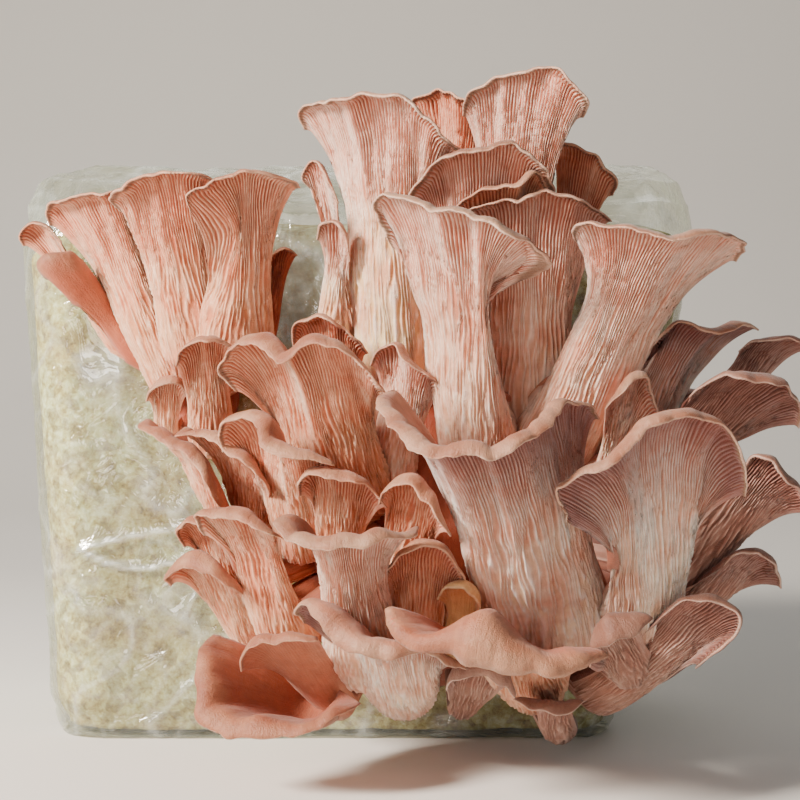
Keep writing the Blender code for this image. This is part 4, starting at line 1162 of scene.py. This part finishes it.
def knot_mesh(name: str, centre: tuple, radii: tuple, seed: int) -> bpy.types.Mesh:
    """The front half of a lump of tissue, with soft bumps and a flat back.

    Rings run from the front pole round to the back edge, then in to a pole on the flat back.
    """
    around = np.linspace(0, 2 * math.pi, KNOT_COLUMNS, endpoint=False)
    tilt = np.linspace(0, math.pi / 2, KNOT_ROWS)[1:]
    level = np.concatenate([np.sin(tilt), [KNOT_BACK_RING]])
    forward = np.concatenate([np.cos(tilt), [0.0]])
    x, z = np.outer(level, np.cos(around)), np.outer(level, np.sin(around))
    rings = np.stack([x, -np.outer(forward, np.ones_like(around)), z], axis=-1)
    points = np.concatenate([[[0, -1, 0]], rings.reshape(-1, 3), [[0, 0, 0]]])
    bumps = Noise(seed).layers(points * 4, 3)[:, None] * KNOT_BUMPS
    points = np.array(centre) + points * radii * (1 + bumps * (-points[:, 1:2] > 0.01))
    mesh = capped(name, points[0], points[1:-1].reshape(rings.shape), points[-1], turned=True)
    none = np.zeros(len(points))
    add_values(mesh, gill=none + 0.3, along=none, side=none, across=points[:, 0] / MM)
    return mesh


class Cluster:
    """The mushrooms: every fruit body, and the two knots that they grow from."""

    def __init__(self) -> None:
        """Make the finishes once for each tone."""
        self.flesh = {tone: finish.material() for tone, finish in FLESH.items()}

    def build(self) -> None:
        """Add each piece in the place of its CAD node."""
        knots = (("cluster_base", MAIN_KNOT, 90), ("upper_left_base", LEFT_KNOT, 91))
        for name, knot, seed in knots:
            mesh = knot_mesh(name, *knot, seed)
            add_piece(name + "_lump", mesh, self.flesh[Tone.ORANGE], "mushroom_flesh", name)
        for number, body in enumerate(FRUIT_BODIES):
            mesh = Sheet(body, seed=number).mesh()
            add_piece(body.name + "_sheet", mesh, self.flesh[body.tone], "mushroom_flesh", body.name)


class Bag:
    """The straw block, and the clear film drawn tight around it and gathered on top."""

    def outline(self, inset: float, fine: float, coarse: float) -> np.ndarray:
        """Points round the bag where it is widest: a rectangle with round corners.

        Their spacing is fine on the left of the front, and coarse elsewhere.
        """
        side, end, corner = BAG_WIDTH / 2 - inset, BAG_DEPTH / 2 - inset, BAG_CORNER - inset
        turn = np.linspace(0, math.pi / 2, 16)
        points = []
        for quarter, (right, back) in enumerate(((1, 1), (-1, 1), (-1, -1), (1, -1))):
            angle = turn + quarter * math.pi / 2
            across = right * (side - corner) + corner * np.cos(angle)
            points.append(np.stack([across, back * (end - corner) + corner * np.sin(angle)], axis=1))
        loop = np.concatenate([*points, points[0][:1]])
        lengths = running_total(np.linalg.norm(np.diff(loop, axis=0), axis=1))
        place = np.linspace(0, lengths[-1], 2000)
        x, y = (np.interp(place, lengths, loop[:, axis]) for axis in (0, 1))
        density = np.where((y < -0.3 * BAG_DEPTH) & (x < 0), 1 / fine, 1 / coarse)
        total = running_total((density[1:] + density[:-1]) / 2 * np.diff(place))
        spaced = np.linspace(0, total[-1], round(total[-1]), endpoint=False)
        return np.stack([np.interp(spaced, total, values) for values in (x, y)], axis=1)

    def loft(self, rows: tuple, widest: np.ndarray, gap: float) -> np.ndarray:
        """Level loops through (height, width share, depth share) rows, from a pole below to one above."""
        table = np.array(rows)
        steps = np.diff(table, axis=0)
        knots = running_total(np.hypot(steps[:, 0], steps[:, 2] * (BAG_DEPTH / 2)))
        place = np.linspace(0, knots[-1], round(knots[-1] / gap))
        heights, wide, deep = (np.interp(place, knots, table[:, k]) for k in range(3))
        caps = round(BAG_DEPTH / 2 / gap / 1.5)
        shrink = np.linspace(0.04, 1, caps, endpoint=False)
        heights = np.concatenate([np.full(caps, heights[0]), heights, np.full(caps, heights[-1])])
        wide = np.concatenate([wide[0] * shrink, wide, wide[-1] * shrink[::-1]])
        deep = np.concatenate([deep[0] * shrink, deep, deep[-1] * shrink[::-1]])
        lean = 1 - np.minimum(heights / BLOCK_TOP, 1)
        left = wide * (1 - lean * (1 - BAG_FOOT_LEFT / (BAG_WIDTH / 2)))
        right = wide * (1 - lean * (1 - BAG_FOOT_RIGHT / (BAG_WIDTH / 2)))
        across = np.where(widest[:, 0] < 0, left[:, None] * widest[:, 0], right[:, None] * widest[:, 0])
        level = np.broadcast_to(heights[:, None], across.shape)
        return np.stack([across, deep[:, None] * widest[:, 1], level], axis=-1)

    def skin(self, name: str, loops: np.ndarray, push: np.ndarray) -> bpy.types.Mesh:
        """The closed mesh of the loops moved out by push, with a pole at each end."""
        around = np.roll(loops, -1, axis=1) - np.roll(loops, 1, axis=1)
        climb = np.gradient(loops, axis=0)
        normals = unit(np.cross(around, climb))
        flat = np.linalg.norm(climb[..., :2], axis=-1) > 5 * np.abs(climb[..., 2])
        normals[flat] = np.where(loops[flat][:, 2:] > BLOCK_TOP / 2, (0, 0, 1), (0, 0, -1))
        points = loops + normals * push[..., None]
        points[..., 2] = np.maximum(points[..., 2], loops[..., 2].min())
        return capped(name, points[0].mean(axis=0), points, points[-1].mean(axis=0), turned=False)

    def creases(self, loops: np.ndarray) -> tuple[np.ndarray, np.ndarray]:
        """How far the film stands off its outline, and how sharply it is pinched there, which the film also
        paints as a pale highlight.

        Thin ridges, flat facets between soft folds, and slack, all deeper on the folded top; two
        long pinched lines on the left of the front; and a fold round the foot.
        """
        noise = Noise(501)
        top = smooth_step((loops[..., 2] - TOP_START) / TOP_SPAN)
        bent = loops / RIDGE_SPACING + 0.5 * noise.at(loops / RIDGE_BENDS)[..., None]
        ridges = np.clip(1 - np.abs(noise.at(bent)), 0, 1) ** 14
        short = np.clip(1 - np.abs(noise.at(loops / SHORT_RIDGES + 31)), 0, 1) ** 16
        facets = np.abs(noise.at(loops / FACET_SPACING + 5))
        slack = noise.layers(loops / SLACK_SPACING + 7, 2)
        lines = np.zeros(loops.shape[:-1])
        for first, last in zip(FILM_LINES, FILM_LINES[1:]):
            ends = [seen((*point, 0))[[0, 2]] for point in (first, last)]
            way = ends[1] - ends[0]
            share = np.clip(((loops[..., [0, 2]] - ends[0]) @ way) / (way @ way), 0, 1)
            far = np.linalg.norm(loops[..., [0, 2]] - ends[0] - share[..., None] * way, axis=-1)
            lines = np.maximum(lines, np.exp(-((far / LINE_WIDTH) ** 2)))
        lines = lines * (loops[..., 1] < -0.4 * BAG_DEPTH)
        fold = np.exp(-(((loops[..., 2] - FOOT_FOLD) / FOOT_FOLD_WIDTH) ** 2))
        thin = 0.5 * ridges + 0.25 * short
        push = thin + 0.35 * slack - facets * (0.7 + 3.2 * top) + 1.1 * lines - 1.6 * fold
        return push * MM - 0.5 * MM, np.clip(thin + lines, 0, 1)

    def build(self) -> None:
        """Add the block and the film."""
        noise = Noise(77)
        loops = self.loft(BLOCK_ROWS, self.outline(FILM + GAP, 3 * MM, 3 * MM), 2.8 * MM)
        lumps = noise.layers(loops / LUMP_SPACING, 4) * 0.7 * MM - 2.4 * MM
        mesh = self.skin("straw_block", loops, lumps)
        add_piece("straw_block", mesh, straw_material(), "substrate", "substrate_block")
        loops = self.loft(BAG_ROWS, self.outline(0, 1.2 * MM, 2.8 * MM), 1.6 * MM)
        push, pinch = self.creases(loops)
        mesh = self.skin("clear_film", loops, push)
        add_values(mesh, pinch=np.concatenate([[0], pinch.ravel(), [0]]))
        add_piece("clear_film", mesh, film_material(), "bag_film", "bag_film")


def straw_material() -> bpy.types.Material:
    """Straw and sawdust bound by mycelium: white felt over tan and ochre flecks of 3 to 4 mm."""
    material, tree, shader = new_shader("colonised_straw")
    place = add_node(tree, "TexCoord").outputs["Object"]
    patches = {"Vector": place, "Scale": MYCELIUM, "Detail": 4, "Roughness": 0.6}
    broad = add_node(tree, "TexNoise", patches).outputs["Fac"]
    fibres = {"Vector": place, "Scale": FIBRES, "Detail": 5, "Roughness": 0.75}
    fine = add_node(tree, "TexNoise", fibres).outputs["Fac"]

    # Felted patches and barer ones, with tan bits of straw in both
    felt = ramp(tree, fine, ((0.32, "#80703A"), (0.42, "#AEA462"), (0.52, "#C6CA96"), (0.66, "#E0E9CC")))
    straw = ramp(tree, fine, ((0.32, "#665226"), (0.42, "#9A823C"), (0.52, "#B6A866"), (0.66, "#CCC894")))
    share = ramp(tree, broad, ((0.40, "#000000"), (0.62, "#FFFFFF")))
    colour = blend(tree, share, felt, straw)
    cell = add_node(tree, "TexVoronoi", {"Vector": place, "Scale": STRAW_BITS})
    grain = ramp(tree, cell.outputs["Color"], ((0.2, "#9C8455"), (0.5, "#FFFFFF")))
    colour = blend(tree, 0.5, colour, grain, "MULTIPLY")

    # Painted shade on the block behind the mushrooms, as a dark brown spot: its distance is stretched, and
    # roughened by the patches
    away = add_node(tree, "VectorMath", {0: place, 1: seen(SHADE_SPOT)}, operation="SUBTRACT")
    away = add_node(tree, "VectorMath", {0: away.outputs[0], 1: (1.0, 0.5, 0.55)}, operation="MULTIPLY")
    far = add_node(tree, "VectorMath", {0: away.outputs[0]}, operation="LENGTH").outputs["Value"]
    far = add_node(tree, "Math", {0: broad, 1: 18 * MM, 2: far}, operation="MULTIPLY_ADD").outputs[0]
    fade = {"Value": far, "From Min": 14 * MM, "From Max": 34 * MM, "To Min": 0.85, "To Max": 0}
    spot_shade = add_node(tree, "MapRange", fade).outputs[0]
    colour = blend(tree, spot_shade, colour, linear("#5A4332"))
    tree.links.new(colour, shader.inputs["Base Color"])
    bump = add_node(tree, "Bump", {"Height": fine, "Strength": 0.7, "Distance": 0.8 * MM})
    tree.links.new(bump.outputs[0], shader.inputs["Normal"])
    set_inputs(shader, {"Roughness": 0.85})
    return material


def film_material() -> bpy.types.Material:
    """Thin clear plastic film: mostly seen through, milky where it is pinched, which is partly painted
    highlight along the creases, with sharp glints.
    """
    material, tree, shader = new_shader("clear_plastic_film")
    place = add_node(tree, "TexCoord").outputs["Object"]
    crumples = {"Vector": place, "Scale": CRUMPLES, "Detail": 3, "Distortion": 1.4}
    height = add_node(tree, "TexNoise", crumples).outputs["Fac"]
    bump = add_node(tree, "Bump", {"Height": height, "Strength": 0.9, "Distance": 3 * MM})
    set_inputs(shader, {"Base Color": linear("#DCE6E0"), "Roughness": 0.2, "IOR": 1.5})
    set_inputs(shader, {"Coat Weight": 1.0, "Coat IOR": 3.5, "Coat Roughness": 0.08})
    tree.links.new(bump.outputs[0], shader.inputs["Normal"])
    tree.links.new(bump.outputs[0], shader.inputs["Coat Normal"])

    # More film and less view where it turns away, and where it is pinched: the milky creases are partly
    # doubled film and partly painted highlight
    clear = add_node(tree, "BsdfTransparent", {"Color": linear("#FAFAF4")})
    facing = add_node(tree, "LayerWeight", {"Blend": 0.3, "Normal": bump.outputs[0]}).outputs["Fresnel"]
    pinch = add_node(tree, "Attribute", attribute_name="pinch").outputs["Fac"]
    share = add_node(tree, "Math", {0: facing, 1: 0.5, 2: 0.09}, operation="MULTIPLY_ADD").outputs[0]
    share = add_node(tree, "Math", {0: pinch, 1: 0.6, 2: share}, operation="MULTIPLY_ADD", use_clamp=True)
    mix = add_node(tree, "MixShader", {0: share.outputs[0], 1: clear.outputs[0], 2: shader.outputs[0]})
    tree.links.new(mix.outputs[0], tree.nodes["Material Output"].inputs["Surface"])
    return material


def area_light(name: str, place: tuple, target: tuple, size: float, power: float, colour: str) -> None:
    """A square soft light that looks at a point."""
    lamp = bpy.data.lights.new(name, "AREA")
    lamp.size, lamp.energy = size, power
    lamp.color = linear(colour)[:3]
    obj = bpy.data.objects.new(name, lamp)
    bpy.context.scene.collection.objects.link(obj)
    obj.location = place
    obj.rotation_euler = (Vector(target) - Vector(place)).to_track_quat("-Z", "Y").to_euler()


def build_studio() -> None:
    """A pale floor, soft lights and the camera at the outlines' viewpoint."""
    scene = bpy.context.scene
    across = np.array((-3.0, 3.0))
    profile = np.array(SWEEP)
    points = np.stack(np.broadcast_arrays(across[:, None], profile[:, 0], profile[:, 1]), axis=-1)
    quads = grid_quads(0, 2, len(profile))
    floor_mesh = make_mesh("floor", points.reshape(-1, 3), quads, np.zeros((0, 3), int))
    material, _, shader = new_shader("pale_paper")
    set_inputs(shader, {"Base Color": linear("#E6E3DE"), "Roughness": 0.9})
    floor_mesh.materials.append(material)
    floor = bpy.data.objects.new("floor", floor_mesh)
    scene.collection.objects.link(floor)

    world = scene.world or bpy.data.worlds.new("studio")
    scene.world = world
    world.use_nodes = True
    set_inputs(world.node_tree.nodes["Background"], {"Color": linear("#EEF1F4"), "Strength": 0.14})
    middle = (0, -0.08, 0.11)
    area_light("key", (-0.78, -0.66, 0.62), middle, 0.24, 38, "#FFF4E6")
    area_light("fill", (0.45, -1.1, 0.3), middle, 0.9, 1.1, "#F4F5FF")
    area_light("front", (-0.4, -1.15, 0.3), middle, 0.3, 2.6, "#FFF6EE")
    area_light("back", (0.1, 0.6, 0.9), middle, 0.8, 2.2, "#FFFFFF")

    camera = bpy.data.cameras.new("camera")
    camera.sensor_width = SENSOR
    camera.lens = SIGHT_FOCUS / (2 * SIGHT_CENTRE) * SENSOR
    stand = bpy.data.objects.new("camera", camera)
    scene.collection.objects.link(stand)
    stand.location = (SIGHT_X, FACE_Y - SIGHT_DISTANCE, SIGHT_Z)
    stand.rotation_euler = (math.pi / 2, 0, 0)
    scene.camera = stand


def main() -> None:
    """Build every piece and the studio, and keep a note of the size."""
    logging.basicConfig(level=logging.INFO, format="%(name)s %(message)s")
    Cluster().build()
    Bag().build()
    build_studio()


if __name__ == "__main__":
    main()
